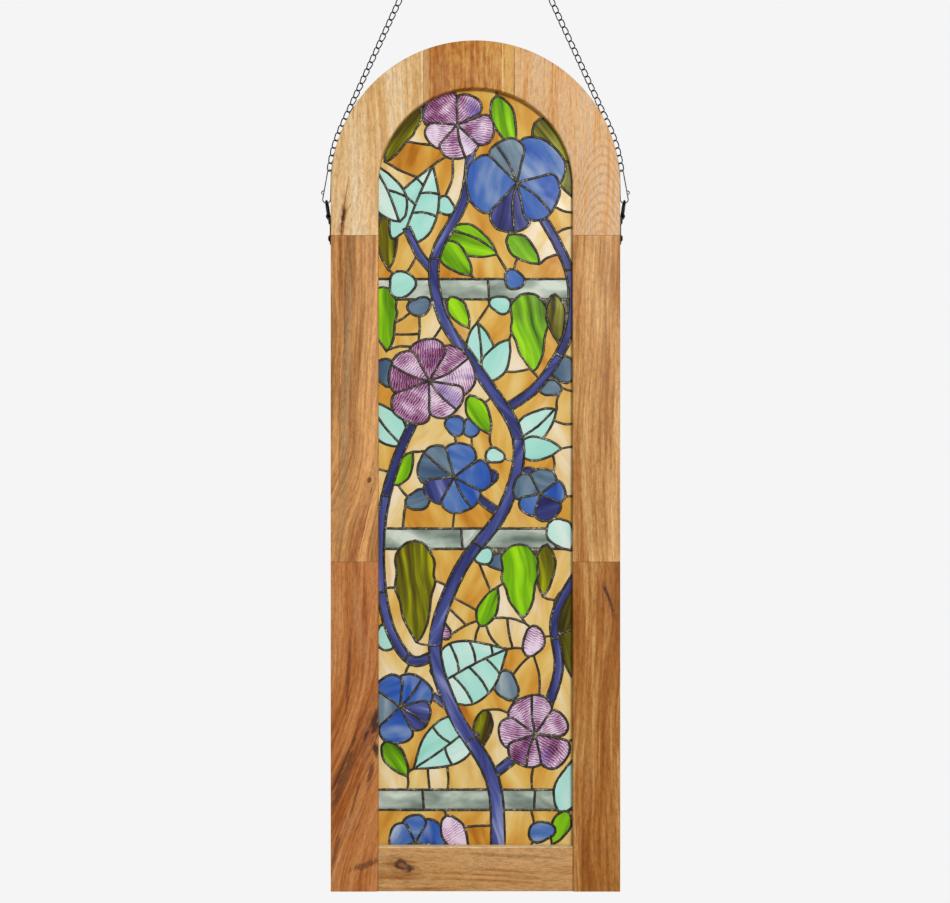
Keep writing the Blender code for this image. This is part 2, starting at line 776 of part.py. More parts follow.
def strap_plate(name, side, finish):
    """A steel strip that lies on the wood, folds round the D-ring's bar and comes back on itself."""
    bar = ring_tops()[1]
    outer = D_WIRE / 2 + GAP + STRAP_THICKNESS
    inner = outer - STRAP_THICKNESS
    foot = bar.y - STRAP_LENGTH
    back = bar.x - outer
    face = back + STRAP_THICKNESS + GAP
    tail = bar.y - STRAP_RETURN
    steps = 6
    last_turn = math.radians(-54)
    turns = [math.pi + (last_turn - math.pi) * step / steps for step in range(steps + 1)]
    inside = [bar + Vector((math.cos(turn), math.sin(turn))) * inner for turn in turns]
    outside = [bar + Vector((math.cos(turn), math.sin(turn))) * outer for turn in turns]
    slope = -math.cos(last_turn) / math.sin(last_turn)
    inner_bend = inside[-1].y + (face - inside[-1].x) * slope
    outer_bend = outside[-1].y + (face + STRAP_THICKNESS - outside[-1].x) * slope
    profile = [Vector((back, foot)), Vector((back + STRAP_THICKNESS, foot))] + inside
    profile += [Vector((face, inner_bend)), Vector((face, tail)), Vector((face + STRAP_THICKNESS, tail)),
                Vector((face + STRAP_THICKNESS, outer_bend))] + outside[::-1]
    outline = [(side * point.x, -STRAP_WIDTH / 2, point.y) for point in profile]
    plate = new_object(name, prism(outline, (0, STRAP_WIDTH, 0)), finish)
    hole = screw_shaft(side, SCREW_RADIUS + GAP, HALF - STRAP_THICKNESS, 2 * STRAP_THICKNESS + MEMBER_WIDTH / 2)
    boolean(plate, new_object("hole", hole, finish), "DIFFERENCE")
    return plate


def screw_height():
    return ring_tops()[1].y - STRAP_LENGTH + SCREW_UP


def screw_shaft(side, radius, start, length):
    """An upright eight-sided bar along X at the screw's height."""
    made = bmesh.new()
    place = Matrix.Translation((side * (start + length / 2), 0, screw_height()))
    turn = Matrix.Rotation(math.pi / 2, 4, "Y") @ Matrix.Rotation(math.pi / 8, 4, "Z")
    bmesh.ops.create_cone(made, cap_ends=True, segments=8, radius1=radius, radius2=radius,
                          depth=length, matrix=place @ turn)
    return made


def plate_screw(name, side, finish):
    """A pan-head screw: its shank in the wood, its head on the strap."""
    seat = HALF + GAP + STRAP_THICKNESS + GAP
    start = HALF - SCREW_LENGTH
    shank = screw_shaft(side, SCREW_RADIUS, start, seat + HEAD_HEIGHT / 2 - start)
    screw = new_object(name, shank, finish)
    head = bmesh.new()
    place = Matrix.Translation((side * (seat + HEAD_HEIGHT / 2), 0, screw_height()))
    turn = Matrix.Rotation(side * math.pi / 2, 4, "Y")
    bmesh.ops.create_cone(head, cap_ends=True, segments=8, radius1=HEAD_RADIUS, radius2=HEAD_RADIUS * 0.65,
                          depth=HEAD_HEIGHT, matrix=place @ turn)
    boolean(screw, new_object("head", head, finish), "UNION")
    return screw


def pilot_hole(board, side, finish):
    depth = SCREW_LENGTH + GAP
    hole = screw_shaft(side, SCREW_RADIUS + GAP, HALF - depth, depth + STRAP_THICKNESS)
    boolean(board, new_object("pilot", hole, finish), "DIFFERENCE")


def hanging_gear(finish, bright, uppers, wood):
    ring = round_loop(Vector((0, 0, RING_Z)), RING_RADIUS, 12, Vector((1, 0, 0)), Vector((0, 0, 1)))
    new_object("hanging_ring", wire_loop(ring, RING_WIRE / 2, 4, Vector((0, 1, 0))), finish, smooth=True)
    for word, side in (("left", -1), ("right", 1)):
        chain("chain_" + word, side, finish)
        wire_clip("wire_clip_" + word, side, bright)
        d_ring("d_ring_" + word, side, finish)
        strap_plate("strap_plate_" + word, side, finish)
        plate_screw("plate_screw_" + word, side, finish)
    for side, upper in uppers:
        pilot_hole(upper, side, wood)


def main():
    clear_scene()
    wood = material("oiled_wood", (0.45, 0.25, 0.10), 0.45)
    lead = material("soldered_lead", (0.06, 0.055, 0.045), 0.45, 1.0)
    black = material("blackened_steel", (0.012, 0.012, 0.012), 0.4, 1.0)
    bright = material("spring_wire", (0.25, 0.25, 0.25), 0.3, 1.0)
    glass = {
        "amber": material("glass_amber", (0.79, 0.50, 0.18), 0.2),
        "rail": material("glass_grey_green", (0.24, 0.30, 0.26), 0.2),
        "indigo": material("glass_indigo", (0.06, 0.07, 0.28), 0.2),
        "blue": material("glass_blue", (0.07, 0.16, 0.50), 0.2),
        "purple": material("glass_purple", (0.35, 0.12, 0.30), 0.2),
        "mint": material("glass_mint", (0.38, 0.70, 0.60), 0.2),
        "green": material("glass_green", (0.16, 0.42, 0.03), 0.2),
        "olive": material("glass_olive", (0.15, 0.16, 0.02), 0.2),
    }
    uppers = wooden_frame(wood)
    leaded_panel(lead, glass)
    hanging_gear(black, bright, uppers, wood)


main()
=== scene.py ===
# Arched panel of leaded opalescent glass in a glued wooden frame, hung on a chain.
# The visible surfaces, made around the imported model. Metres, +Z up, +X right, -Y to the viewer.
import math
import random

import bmesh
import bpy
from mathutils import Matrix, Vector, noise
from mathutils.bvhtree import BVHTree
from mathutils.geometry import delaunay_2d_cdt


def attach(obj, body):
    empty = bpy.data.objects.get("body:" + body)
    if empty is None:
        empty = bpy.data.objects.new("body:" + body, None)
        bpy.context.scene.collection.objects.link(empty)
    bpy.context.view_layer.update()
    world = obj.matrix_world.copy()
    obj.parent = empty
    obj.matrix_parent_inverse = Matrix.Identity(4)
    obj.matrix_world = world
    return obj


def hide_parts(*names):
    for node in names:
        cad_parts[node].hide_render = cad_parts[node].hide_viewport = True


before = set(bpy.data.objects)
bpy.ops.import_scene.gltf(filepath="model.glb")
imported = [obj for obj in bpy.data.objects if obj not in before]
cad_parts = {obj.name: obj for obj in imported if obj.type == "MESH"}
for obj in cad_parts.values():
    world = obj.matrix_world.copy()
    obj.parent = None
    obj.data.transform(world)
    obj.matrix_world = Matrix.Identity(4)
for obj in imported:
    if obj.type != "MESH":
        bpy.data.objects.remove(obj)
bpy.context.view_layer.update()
draw = random.Random(7)
noise.seed_set(7)

# Sizes shared with the solids
GAP = 0.0003
MERGE = 0.000001
FRAME_WIDTH = 0.311
FRAME_HEIGHT = 0.914
MEMBER_WIDTH = 0.051
RAIL_HEIGHT = 0.048
WOOD_THICKNESS = 0.020
GROOVE_DEPTH = 0.0065
ARCH_DROP = 0.054
LOWER_STILE_LENGTH = 0.354
CROWN_BOARD_LEFT = 0.056
CROWN_BOARD_RIGHT = 0.042
LEAD_THICKNESS = 0.0046
GLASS_THICKNESS = 0.003
LEAD_WIDTH = 0.0032
BORDER_WIDTH = 0.0045
PANEL_PLAY = 0.0006
SQUARES_ACROSS = 20
SQUARES_UP = 78
HANG_HEIGHT = 0.225
RING_RADIUS = 0.0108
RING_WIRE = 0.0024
CHAIN_WIRE = 0.0013
LINK_WIDTH = 0.0064
LINK_PITCH = 0.0082
LINK_OVERLAP = 0.0004
CLIP_LENGTH = 0.038
CLIP_TOP_RADIUS = 0.0020
CLIP_FOOT_RADIUS = 0.0043
CLIP_WIRE = 0.0012
CLIP_HEIGHT = 0.0185
D_WIRE = 0.0025
D_HEIGHT = 0.0175
D_WIDTH = 0.0180
STRAP_WIDTH = 0.011
STRAP_THICKNESS = 0.0012
STRAP_LENGTH = 0.030
STRAP_RETURN = 0.0075
SCREW_UP = 0.007
SCREW_RADIUS = 0.0016
SCREW_LENGTH = 0.010
HEAD_RADIUS = 0.0034
HEAD_HEIGHT = 0.0019
RECESS_REACH = 0.0015
RECESS_WIDTH = 0.0007
RECESS_DEPTH = 0.0011
HALF = FRAME_WIDTH / 2
OPENING = HALF - MEMBER_WIDTH
RING_Z = -(RING_RADIUS - RING_WIRE / 2)
SPRING_Z = RING_Z - HANG_HEIGHT - HALF
BOTTOM_Z = RING_Z - HANG_HEIGHT - FRAME_HEIGHT
RAIL_TOP_Z = BOTTOM_Z + RAIL_HEIGHT
ARCH_END_Z = SPRING_Z - ARCH_DROP
STILE_JOINT_Z = BOTTOM_Z + LOWER_STILE_LENGTH
GROOVE_WIDTH = LEAD_THICKNESS + 2 * GAP
GROOVE_RADIUS = OPENING + GROOVE_DEPTH
PANEL_RADIUS = GROOVE_RADIUS - PANEL_PLAY
PANEL_FOOT_Z = RAIL_TOP_Z - GROOVE_DEPTH + PANEL_PLAY
SQUARE_X = 2 * OPENING / SQUARES_ACROSS
SQUARE_Z = (SPRING_Z + OPENING - RAIL_TOP_Z) / SQUARES_UP

# Sizes of the finer work
ARCH_STEPS = 72
EDGE_ROUND = 0.0013  # rounding of the wood's long edges
CURVE_PARTS = 5  # straight parts between two points of a drawn curve
LINE_STEP = 0.0024  # longest straight part of a solder line
SLACK = 0.00003  # how far a drawn outline may stray when points are left out
SMALLEST_TILE = 0.00003  # square metres; smaller gaps are filled with solder
LINK_STEPS = 7  # straight parts in the round end of a chain link
LINK_TWIST = 38  # degrees, from the middle of a link to its end
LINK_LEAN = 0.1  # how far a link lies over, in radians
LINK_SWING = 0.15  # most that a link's lean differs from that
D_BEND = 0.0022  # bends between the D-ring's bar and its bow
CATCH_HEIGHT = 0.0075  # of the clip's catch over the middle of its round foot
SOLDER_WIDTH = 0.0028
SOLDER_EDGE = GLASS_THICKNESS / 2 + 0.00012  # where a solder line thins out on the glass
SOLDER_SHOULDER = 0.0021
SOLDER_CROWN = 0.0024
SOLDER_JOINT = 0.00035  # extra height where lines meet
SOLDER_LUMP = 0.00022  # unevenness of the solder
SOLDER_LUMPS = 160  # lumps of solder in a metre of line, 6 mm each
LINE_WAVER = 0.0004  # how far the edge of a solder line wanders
LINE_WAVERS = 230  # times that it wanders in a metre, every 4 mm
CORNER_LENGTH = 2.0  # longest corner of a solder line, in half widths
CORNER_CUT = 0.8  # where a longer corner is cut off, in half widths
CLEAR_SHARE = 0.95  # of a line's half width, which the edge of a tile keeps from its outline
TILE_TILT = 0.012  # most that a tile leans in its lead, in radians
TILE_TURN = 0.15  # most that a tile's streaks stray from its length, in radians
GROUND_TURN = 38  # most that the ground's streaks stray from upright, in degrees
SHEET_REACH = 9  # metres of a sheet's pattern from which its tiles are cut
SPIKE_TURN = -0.88  # cosine of the turn at the sharpest corner that a tile keeps
CUT_STEP = 0.005  # spacing of the places from which a tile may be cut
CUT_CLEARANCE = 0.0032  # least room between a cut and the rest of a tile's edge
CUT_END_ROOM = 0.55  # near its ends a cut's least room is this share of the way to the end
CUT_BEND = 0.09  # most that a cut bows, as a share of its length
CUT_PART = 0.006  # length of the straight parts of a bowed cut
CUT_TRIES = 400  # how many places are tried for a cut
LEAST_SHARE = 0.22  # of a tile that a cut may part off
POKE_WEIGHT = 0.35  # how much a neighbour's poking corner speaks for a cut there
EVEN_WEIGHT = 3.0  # how much halves of unlike size speak against a cut
HOLE_CUT_BEND = 0.05  # how far a cut to a hole bows
HOLE_CUT_TURN = -0.3  # cosine of the least turn round a hole between the two cuts that open it
LARGEST_TILES = (0.0006, 0.0017)  # square metres; each tile of the ground draws its limit between these
GRAIN_SWING = 0.045  # how far the grain strays from straight
MARK_DEPTH = 0.06  # how deep a mark goes in the wood, as a half height
GRAIN_PATTERNS = {  # scale across and along the grain, detail and roughness
    "band": (40.0, 2.4, 3.0, 0.5),
    "streak": (270.0, 11.0, 3.0, 0.6),
    "curl": (190.0, 80.0, 3.0, 0.5),
    "ragged": (380.0, 90.0, 4.0, 0.65),
    "fibre": (560.0, 120.0, 3.0, 0.6),
    "pore": (1100.0, 420.0, 2.0, 0.5),
}


# Materials

def linear(code):
    """An sRGB hex colour as linear red, green, blue and alpha."""
    parts = [int(code[place:place + 2], 16) / 255 for place in (1, 3, 5)]
    return [part / 12.92 if part <= 0.04045 else ((part + 0.055) / 1.055) ** 2.4 for part in parts] + [1.0]


def add(tree, kind, inputs=None, stops=None, **settings):
    """Add a node with its settings. An input is a value, or another node's output to link."""
    node = tree.nodes.new(kind)
    for setting, value in settings.items():
        setattr(node, setting, value)
    for socket, value in (inputs or {}).items():
        if isinstance(value, bpy.types.NodeSocket):
            tree.links.new(value, node.inputs[socket])
        else:
            node.inputs[socket].default_value = value
    if stops:
        line = node.color_ramp.elements
        while len(line) < len(stops):
            line.new(0.5)
        for element, (place, shade) in zip(line, stops):
            element.position = place
            element.color = linear(shade) if isinstance(shade, str) else (shade, shade, shade, 1.0)
    return node


def new_material(name, roughness, metallic=0.0):
    made = bpy.data.materials.new(name)
    made.use_nodes = True
    shader = made.node_tree.nodes["Principled BSDF"]
    shader.inputs["Roughness"].default_value = roughness
    shader.inputs["Metallic"].default_value = metallic
    return made, made.node_tree, shader


def board_wood(name, tones, fibre_shift, marks=(), curl=0.0, arches=None, sway=None, grain_along_x=False):
    """Mango wood, planed, sanded and oiled to a satin sheen. The eye gets bands of 25 mm, streaks of
    4 mm, fibres of 2 mm and short dark pores, and a grain that parts round each knot. Fibres and
    pores are drawn coarser than the real 0.2 mm, which the render is too small to show. A mark is
    its place, its half width and half height, its lean, its colour and strength, and how far it
    parts the grain. Arches are the growth rings of a board cut near the bark: the place of their
    top, how steep they are, and their spacing. Sway is how far the grain leans between two heights."""
    made, tree, shader = new_material(name, 0.42)
    shader.inputs["Specular IOR Level"].default_value = 0.25
    place = add(tree, "ShaderNodeTexCoord").outputs["Object"]
    turn = (0.0, math.radians(90), 0.0) if grain_along_x else (0.0, 0.0, 0.0)
    board = add(tree, "ShaderNodeMapping", {0: place, "Rotation": turn}).outputs[0]
    parted = add(tree, "ShaderNodeSeparateXYZ", {0: board})
    shift = (fibre_shift, 0.0, fibre_shift)
    shifted = add(tree, "ShaderNodeMapping", {0: board, "Location": shift}).outputs[0]
    spread = add(tree, "ShaderNodeMapping", {0: shifted, "Scale": (9.0, 9.0, 2.6)}).outputs[0]
    swings = add(tree, "ShaderNodeTexNoise", {"Vector": spread, "Scale": 1.0, "Detail": 2.0}).outputs[0]
    across = add(tree, "ShaderNodeMath", {0: swings, 1: GRAIN_SWING, 2: parted.outputs[0]},
                 operation="MULTIPLY_ADD").outputs[0]
    across = add(tree, "ShaderNodeMath", {0: parted.outputs[1], 1: 0.7, 2: across},
                 operation="MULTIPLY_ADD").outputs[0]
    if sway:
        high_z, low_z, lean = sway
        leaning = add(tree, "ShaderNodeMapRange", {
            "Value": parted.outputs[2], "From Min": high_z, "From Max": low_z, "To Max": lean},
            interpolation_type="SMOOTHSTEP").outputs[0]
        across = add(tree, "ShaderNodeMath", {0: across, 1: leaning}, operation="ADD").outputs[0]
    spots = []
    rings = 0.0
    for (x, z), (wide, tall), lean, colour, strength, push in marks:
        local = add(tree, "ShaderNodeMapping", {
            0: place, "Location": (x, -WOOD_THICKNESS / 2, z), "Rotation": (0.0, math.radians(lean), 0.0),
            "Scale": (wide, MARK_DEPTH, tall)}, vector_type="TEXTURE").outputs[0]
        reach = add(tree, "ShaderNodeVectorMath", {0: local}, operation="LENGTH").outputs["Value"]
        spots.append((reach, colour, strength))
        if not push:
            continue
        ring = add(tree, "ShaderNodeMath", {0: reach, 1: 3.2, 2: swings},
                   operation="MULTIPLY_ADD").outputs[0]
        ring = add(tree, "ShaderNodeMath", {0: ring}, operation="SINE").outputs[0]
        near = add(tree, "ShaderNodeMapRange", {
            "Value": reach, "From Min": 1.0, "From Max": 6.0, "To Min": 0.12, "To Max": 0.0}).outputs[0]
        rings = add(tree, "ShaderNodeMath", {0: ring, 1: near, 2: rings},
                    operation="MULTIPLY_ADD").outputs[0]
        side = add(tree, "ShaderNodeSeparateXYZ", {0: local}).outputs[2 if grain_along_x else 0]
        fall = add(tree, "ShaderNodeMath", {0: reach, 1: reach, 2: 1.2},
                   operation="MULTIPLY_ADD").outputs[0]
        parting = add(tree, "ShaderNodeMath", {0: side, 1: fall}, operation="DIVIDE").outputs[0]
        across = add(tree, "ShaderNodeMath", {0: parting, 1: -push, 2: across},
                     operation="MULTIPLY_ADD").outputs[0]
    grain = add(tree, "ShaderNodeCombineXYZ", {0: across, 1: fibre_shift, 2: parted.outputs[2]}).outputs[0]
    drawn = {}
    for pattern, (scale_across, scale_along, detail, roughness) in GRAIN_PATTERNS.items():
        scale = (scale_across, 1.0, scale_along)
        spread = add(tree, "ShaderNodeMapping", {0: grain, "Scale": scale}).outputs[0]
        drawn[pattern] = add(tree, "ShaderNodeTexNoise", {
            "Vector": spread, "Scale": 1.0, "Detail": detail, "Roughness": roughness}).outputs[0]
    tone = add(tree, "ShaderNodeMath", {0: drawn["band"], 1: drawn["streak"]}, operation="ADD").outputs[0]
    tone = add(tree, "ShaderNodeMapRange", {"Value": tone, "From Min": 0.76, "From Max": 1.24}).outputs[0]
    tone = add(tree, "ShaderNodeMath", {0: tone, 1: rings}, operation="ADD").outputs[0]
    waves = add(tree, "ShaderNodeMath", {0: drawn["curl"], 1: 0.5}, operation="SUBTRACT").outputs[0]
    tone = add(tree, "ShaderNodeMath", {0: waves, 1: curl, 2: tone}, operation="MULTIPLY_ADD").outputs[0]
    shade = add(tree, "ShaderNodeValToRGB", {0: tone}, stops=tones).outputs[0]
    layers = []
    # Marks laid on as colour: knots, cracks and stripes of the wood, and on the rail also a painted highlight
    # along its top face.
    for reach, colour, strength in spots:
        worn = add(tree, "ShaderNodeMath", {0: drawn["ragged"], 1: 2.2, 2: reach},
                   operation="MULTIPLY_ADD").outputs[0]
        mask = add(tree, "ShaderNodeMapRange", {
            "Value": worn, "From Min": 1.65, "From Max": 2.25, "To Min": strength, "To Max": 0.0}).outputs[0]
        layers.append((mask, linear(colour), "MIX"))
    if arches:
        (middle_x, top_z), steep, pitch = arches
        off = add(tree, "ShaderNodeMath", {0: parted.outputs[0], 1: middle_x},
                  operation="SUBTRACT").outputs[0]
        off = add(tree, "ShaderNodeMath", {0: off, 1: off}, operation="MULTIPLY").outputs[0]
        level = parted.outputs[2]
        for part, factor in ((off, steep), (swings, GRAIN_SWING), (drawn["ragged"], 0.0045)):
            level = add(tree, "ShaderNodeMath", {0: part, 1: factor, 2: level},
                        operation="MULTIPLY_ADD").outputs[0]
        line = add(tree, "ShaderNodeMath", {0: level, 1: 2 * math.pi / pitch},
                   operation="MULTIPLY").outputs[0]
        line = add(tree, "ShaderNodeMath", {0: line}, operation="SINE").outputs[0]
        line = add(tree, "ShaderNodeMapRange", {"Value": line, "From Min": 0.1, "To Max": 0.44}).outputs[0]
        below = add(tree, "ShaderNodeMapRange", {
            "Value": level, "From Min": top_z, "From Max": top_z - 0.03}).outputs[0]
        line = add(tree, "ShaderNodeMath", {0: line, 1: below}, operation="MULTIPLY").outputs[0]
        layers.append((line, linear("#B87E4C"), "MIX"))
    fibre_stops = [(0.34, 0.62), (0.5, 0.88), (0.62, 1.0)]
    pore_stops = [(0.42, 1.0), (0.55, 0.90), (0.72, 0.50)]
    for pattern, strength, stops in (("fibre", 0.8, fibre_stops), ("pore", 0.5, pore_stops)):
        dark = add(tree, "ShaderNodeValToRGB", {0: drawn[pattern]}, stops=stops).outputs[0]
        layers.append((strength, dark, "MULTIPLY"))
    for share, over, blend in layers:
        shade = add(tree, "ShaderNodeMix", {0: share, 6: shade, 7: over}, data_type="RGBA",
                    blend_type=blend).outputs[2]
    tree.links.new(shade, shader.inputs["Base Color"])
    rough = add(tree, "ShaderNodeMapRange", {
        "Value": drawn["fibre"], "To Min": 0.40, "To Max": 0.58}).outputs[0]
    tree.links.new(rough, shader.inputs["Roughness"])
    relief = add(tree, "ShaderNodeBump", {"Strength": 0.25, "Distance": 0.0002, "Height": drawn["fibre"]})
    tree.links.new(relief.outputs[0], shader.inputs["Normal"])
    return made


def sheet_glass(name, stops, across=62.0, along=9.0, spread=0.6, milk=0.22, ripple=0.0, stain=None):
    """Rolled opalescent glass: colours stirred in the pot and drawn into long soft streaks, with a
    faintly wavy, fire-polished face. Across and along count the streaks in a metre: 62 across are
    16 mm wide, and 9 along 110 mm long. Ripples are 2.5 mm wide and the waves of the face 18 mm.
    The sheet's own map gives each tile its cut from the sheet."""
    made, tree, shader = new_material(name, 0.16)
    shader.inputs["IOR"].default_value = 1.52
    shader.inputs["Specular IOR Level"].default_value = 0.16
    shader.inputs["Transmission Weight"].default_value = milk
    sheet = add(tree, "ShaderNodeUVMap", uv_map="sheet").outputs[0]
    tile = add(tree, "ShaderNodeAttribute", attribute_name="tile")
    lot = add(tree, "ShaderNodeSeparateColor", {0: tile.outputs["Color"]}).outputs[0]
    stir = add(tree, "ShaderNodeTexNoise", {"Vector": sheet, "Scale": 16.0, "Detail": 1.0}).outputs["Color"]
    stir = add(tree, "ShaderNodeVectorMath", {0: stir, 1: (0.5, 0.5, 0.5)}, operation="SUBTRACT").outputs[0]
    stir = add(tree, "ShaderNodeVectorMath", {0: stir, "Scale": 0.016}, operation="SCALE").outputs[0]
    stirred = add(tree, "ShaderNodeVectorMath", {0: sheet, 1: stir}, operation="ADD").outputs[0]
    drawn = add(tree, "ShaderNodeMapping", {0: stirred, "Scale": (along, across, 1.0)}).outputs[0]
    streak = add(tree, "ShaderNodeTexNoise", {"Vector": drawn, "Scale": 1.0, "Detail": 3.0,
                                              "Roughness": 0.5}).outputs[0]
    streak = add(tree, "ShaderNodeMapRange", {"Value": streak, "From Min": 0.28, "From Max": 0.72,
                                              "To Max": spread}).outputs[0]
    if ripple:
        wave = add(tree, "ShaderNodeTexWave", {"Vector": stirred, "Scale": ripple, "Distortion": 5.0,
                                               "Detail": 2.0, "Detail Scale": 1.6}).outputs["Fac"]
        streak = add(tree, "ShaderNodeMath", {0: wave, 1: 0.36, 2: streak},
                     operation="MULTIPLY_ADD").outputs[0]
    tone = add(tree, "ShaderNodeMath", {0: lot, 1: 1.0 - spread, 2: streak},
               operation="MULTIPLY_ADD").outputs[0]
    shade = add(tree, "ShaderNodeValToRGB", {0: tone}, stops=stops).outputs[0]
    if stain:
        cloud = add(tree, "ShaderNodeMapping", {0: stirred, "Scale": (16.0, 40.0, 1.0),
                                                "Location": (3.1, 5.7, 0.0)}).outputs[0]
        cloud = add(tree, "ShaderNodeTexNoise", {"Vector": cloud, "Scale": 1.0, "Detail": 2.0}).outputs[0]
        cloud = add(tree, "ShaderNodeMapRange", {"Value": cloud, "From Min": 0.55, "From Max": 0.78,
                                                 "To Max": 0.75}).outputs[0]
        shade = add(tree, "ShaderNodeMix", {0: cloud, 6: shade, 7: linear(stain)},
                    data_type="RGBA").outputs[2]
    tree.links.new(shade, shader.inputs["Base Color"])
    wavy = add(tree, "ShaderNodeTexNoise", {"Vector": sheet, "Scale": 55.0, "Detail": 1.0}).outputs[0]
    relief = add(tree, "ShaderNodeBump", {"Strength": 0.35, "Distance": 0.0009, "Height": wavy}).outputs[0]
    tree.links.new(relief, shader.inputs["Normal"])
    return made


def solder_finish():
    """Tin-lead solder under black patina, run by hand: lumpy, dull grey-brown, with painted grey glints
    on the high spots, with lumps of 2.4 mm and duller patches of 11 mm."""
    made, tree, shader = new_material("patinated_solder", 0.42, 0.55)
    place = add(tree, "ShaderNodeTexCoord").outputs["Object"]
    lumps = add(tree, "ShaderNodeTexNoise", {"Vector": place, "Scale": 420.0, "Detail": 3.0}).outputs[0]
    patches = add(tree, "ShaderNodeTexNoise", {"Vector": place, "Scale": 90.0, "Detail": 3.0}).outputs[0]
    patina_and_glint = add(tree, "ShaderNodeMath", {0: lumps, 1: patches}, operation="ADD").outputs[0]
    patina_and_glint = add(tree, "ShaderNodeMath", {0: patina_and_glint, 1: 0.5}, operation="MULTIPLY").outputs[0]
    # The palest stop is painted glint on the high spots; the darker stops are the patina's own tone.
    shade = add(tree, "ShaderNodeValToRGB", {0: patina_and_glint}, stops=[
        (0.36, "#211D17"), (0.50, "#3A352B"), (0.58, "#5A5447"), (0.64, "#9A9484")]).outputs[0]
    tree.links.new(shade, shader.inputs["Base Color"])
    relief = add(tree, "ShaderNodeBump", {"Strength": 0.7, "Distance": 0.0005, "Height": lumps}).outputs[0]
    tree.links.new(relief, shader.inputs["Normal"])
    return made


def steel_finish(name, tone, worn, roughness):
    """Steel wire or strip: a thin coat, scuffed paler in patches of 2 mm."""
    made, tree, shader = new_material(name, roughness, 0.9)
    place = add(tree, "ShaderNodeTexCoord").outputs["Object"]
    scuffs = add(tree, "ShaderNodeTexNoise", {"Vector": place, "Scale": 500.0, "Detail": 3.0}).outputs[0]
    shade = add(tree, "ShaderNodeValToRGB", {0: scuffs}, stops=[(0.45, tone), (0.72, worn)]).outputs[0]
    tree.links.new(shade, shader.inputs["Base Color"])
    relief = add(tree, "ShaderNodeBump", {"Strength": 0.2, "Distance": 0.0002, "Height": scuffs}).outputs[0]
    tree.links.new(relief, shader.inputs["Normal"])
    return made


def studio_card(name, shade):
    """Matt painted board, faintly mottled by its roller, every 33 mm."""
    made, tree, shader = new_material(name, 0.9)
    place = add(tree, "ShaderNodeTexCoord").outputs["Object"]
    mottle = add(tree, "ShaderNodeTexNoise", {"Vector": place, "Scale": 30.0}).outputs[0]
    tint = add(tree, "ShaderNodeValToRGB", {0: mottle}, stops=[(0.3, shade), (0.7, "#F4F4F3")]).outputs[0]
    tree.links.new(tint, shader.inputs["Base Color"])
    return made


# Putting pieces in place

def new_object(name, mesh_maker, finishes):
    mesh_maker.normal_update()
    mesh = bpy.data.meshes.new(name)
    mesh_maker.to_mesh(mesh)
    mesh_maker.free()
    for finish in finishes:
        mesh.materials.append(finish)
    made = bpy.data.objects.new(name, mesh)
    bpy.context.scene.collection.objects.link(made)
    return made


def piece(name, mesh_maker, finishes, nodes, sharp=40):
    """Make a finished piece that stands for CAD nodes and rides with the object."""
    made = new_object(name, mesh_maker, finishes)
    made.data.shade_smooth()
    made.data.set_sharp_from_angle(angle=math.radians(sharp))
    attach(made, "root")
    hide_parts(*nodes)
    return made


def wire_mesh(points, radius, closed, sides=3):
    """A round wire along a line of points, as a bmesh."""
    curve = bpy.data.curves.new("wire", "CURVE")
    curve.dimensions = "3D"
    curve.bevel_depth = radius
    curve.bevel_resolution = sides
    curve.use_fill_caps = True
    spline = curve.splines.new("POLY")
    spline.points.add(len(points) - 1)
    for spot, point in zip(spline.points, points):
        spot.co = (*point, 1.0)
    spline.use_cyclic_u = closed
    drawn = bpy.data.objects.new("wire", curve)
    bpy.context.scene.collection.objects.link(drawn)
    view = bpy.context.evaluated_depsgraph_get()
    mesh = bpy.data.meshes.new_from_object(drawn.evaluated_get(view))
    made = bmesh.new()
    made.from_mesh(mesh)
    bmesh.ops.remove_doubles(made, verts=made.verts, dist=MERGE)
    bmesh.ops.recalc_face_normals(made, faces=made.faces)
    bpy.data.objects.remove(drawn, do_unlink=True)
    bpy.data.curves.remove(curve)
    bpy.data.meshes.remove(mesh)
    return made


def drawn_out(made, faces, way):
    """Extrude faces and move the new ones a way. Gives the new corners."""
    drawn = bmesh.ops.extrude_face_region(made, geom=faces)
    tips = [item for item in drawn["geom"] if isinstance(item, bmesh.types.BMVert)]
    bmesh.ops.translate(made, verts=tips, vec=way)
    return tips


def arc(centre, radius, start, end, steps):
    """Points along an arc from one angle to another."""
    turns = [start + (end - start) * step / steps for step in range(steps + 1)]
    return [centre + Vector((math.cos(turn), math.sin(turn))) * radius for turn in turns]


def upright(points, side=1):
    """Points of a drawing, x and z, set up in the panel's middle plane, mirrored for the left side."""
    return [Vector((side * point.x, 0.0, point.y)) for point in points]


def join(target, other):
    """Put the mesh of another bmesh beside what is there."""
    mesh = bpy.data.meshes.new("joined")
    other.to_mesh(mesh)
    other.free()
    target.from_mesh(mesh)
    bpy.data.meshes.remove(mesh)


# Wood

def member_section(made):
    """Section of a frame member with its groove, its four outer corners rounded."""
    front = -WOOD_THICKNESS / 2
    groove = GROOVE_WIDTH / 2
    section = [(OPENING, front), (HALF, front), (HALF, -front), (OPENING, -front),
               (OPENING, groove), (GROOVE_RADIUS, groove), (GROOVE_RADIUS, -groove), (OPENING, -groove)]
    corners = [made.verts.new((away, depth, SPRING_Z)) for away, depth in section]
    face = made.faces.new(corners)
    bmesh.ops.bevel(made, geom=corners[:4], offset=EDGE_ROUND, offset_type="OFFSET", segments=3, profile=0.5,
                    affect="VERTICES", material=-1)
    return list(made.faces)[0]


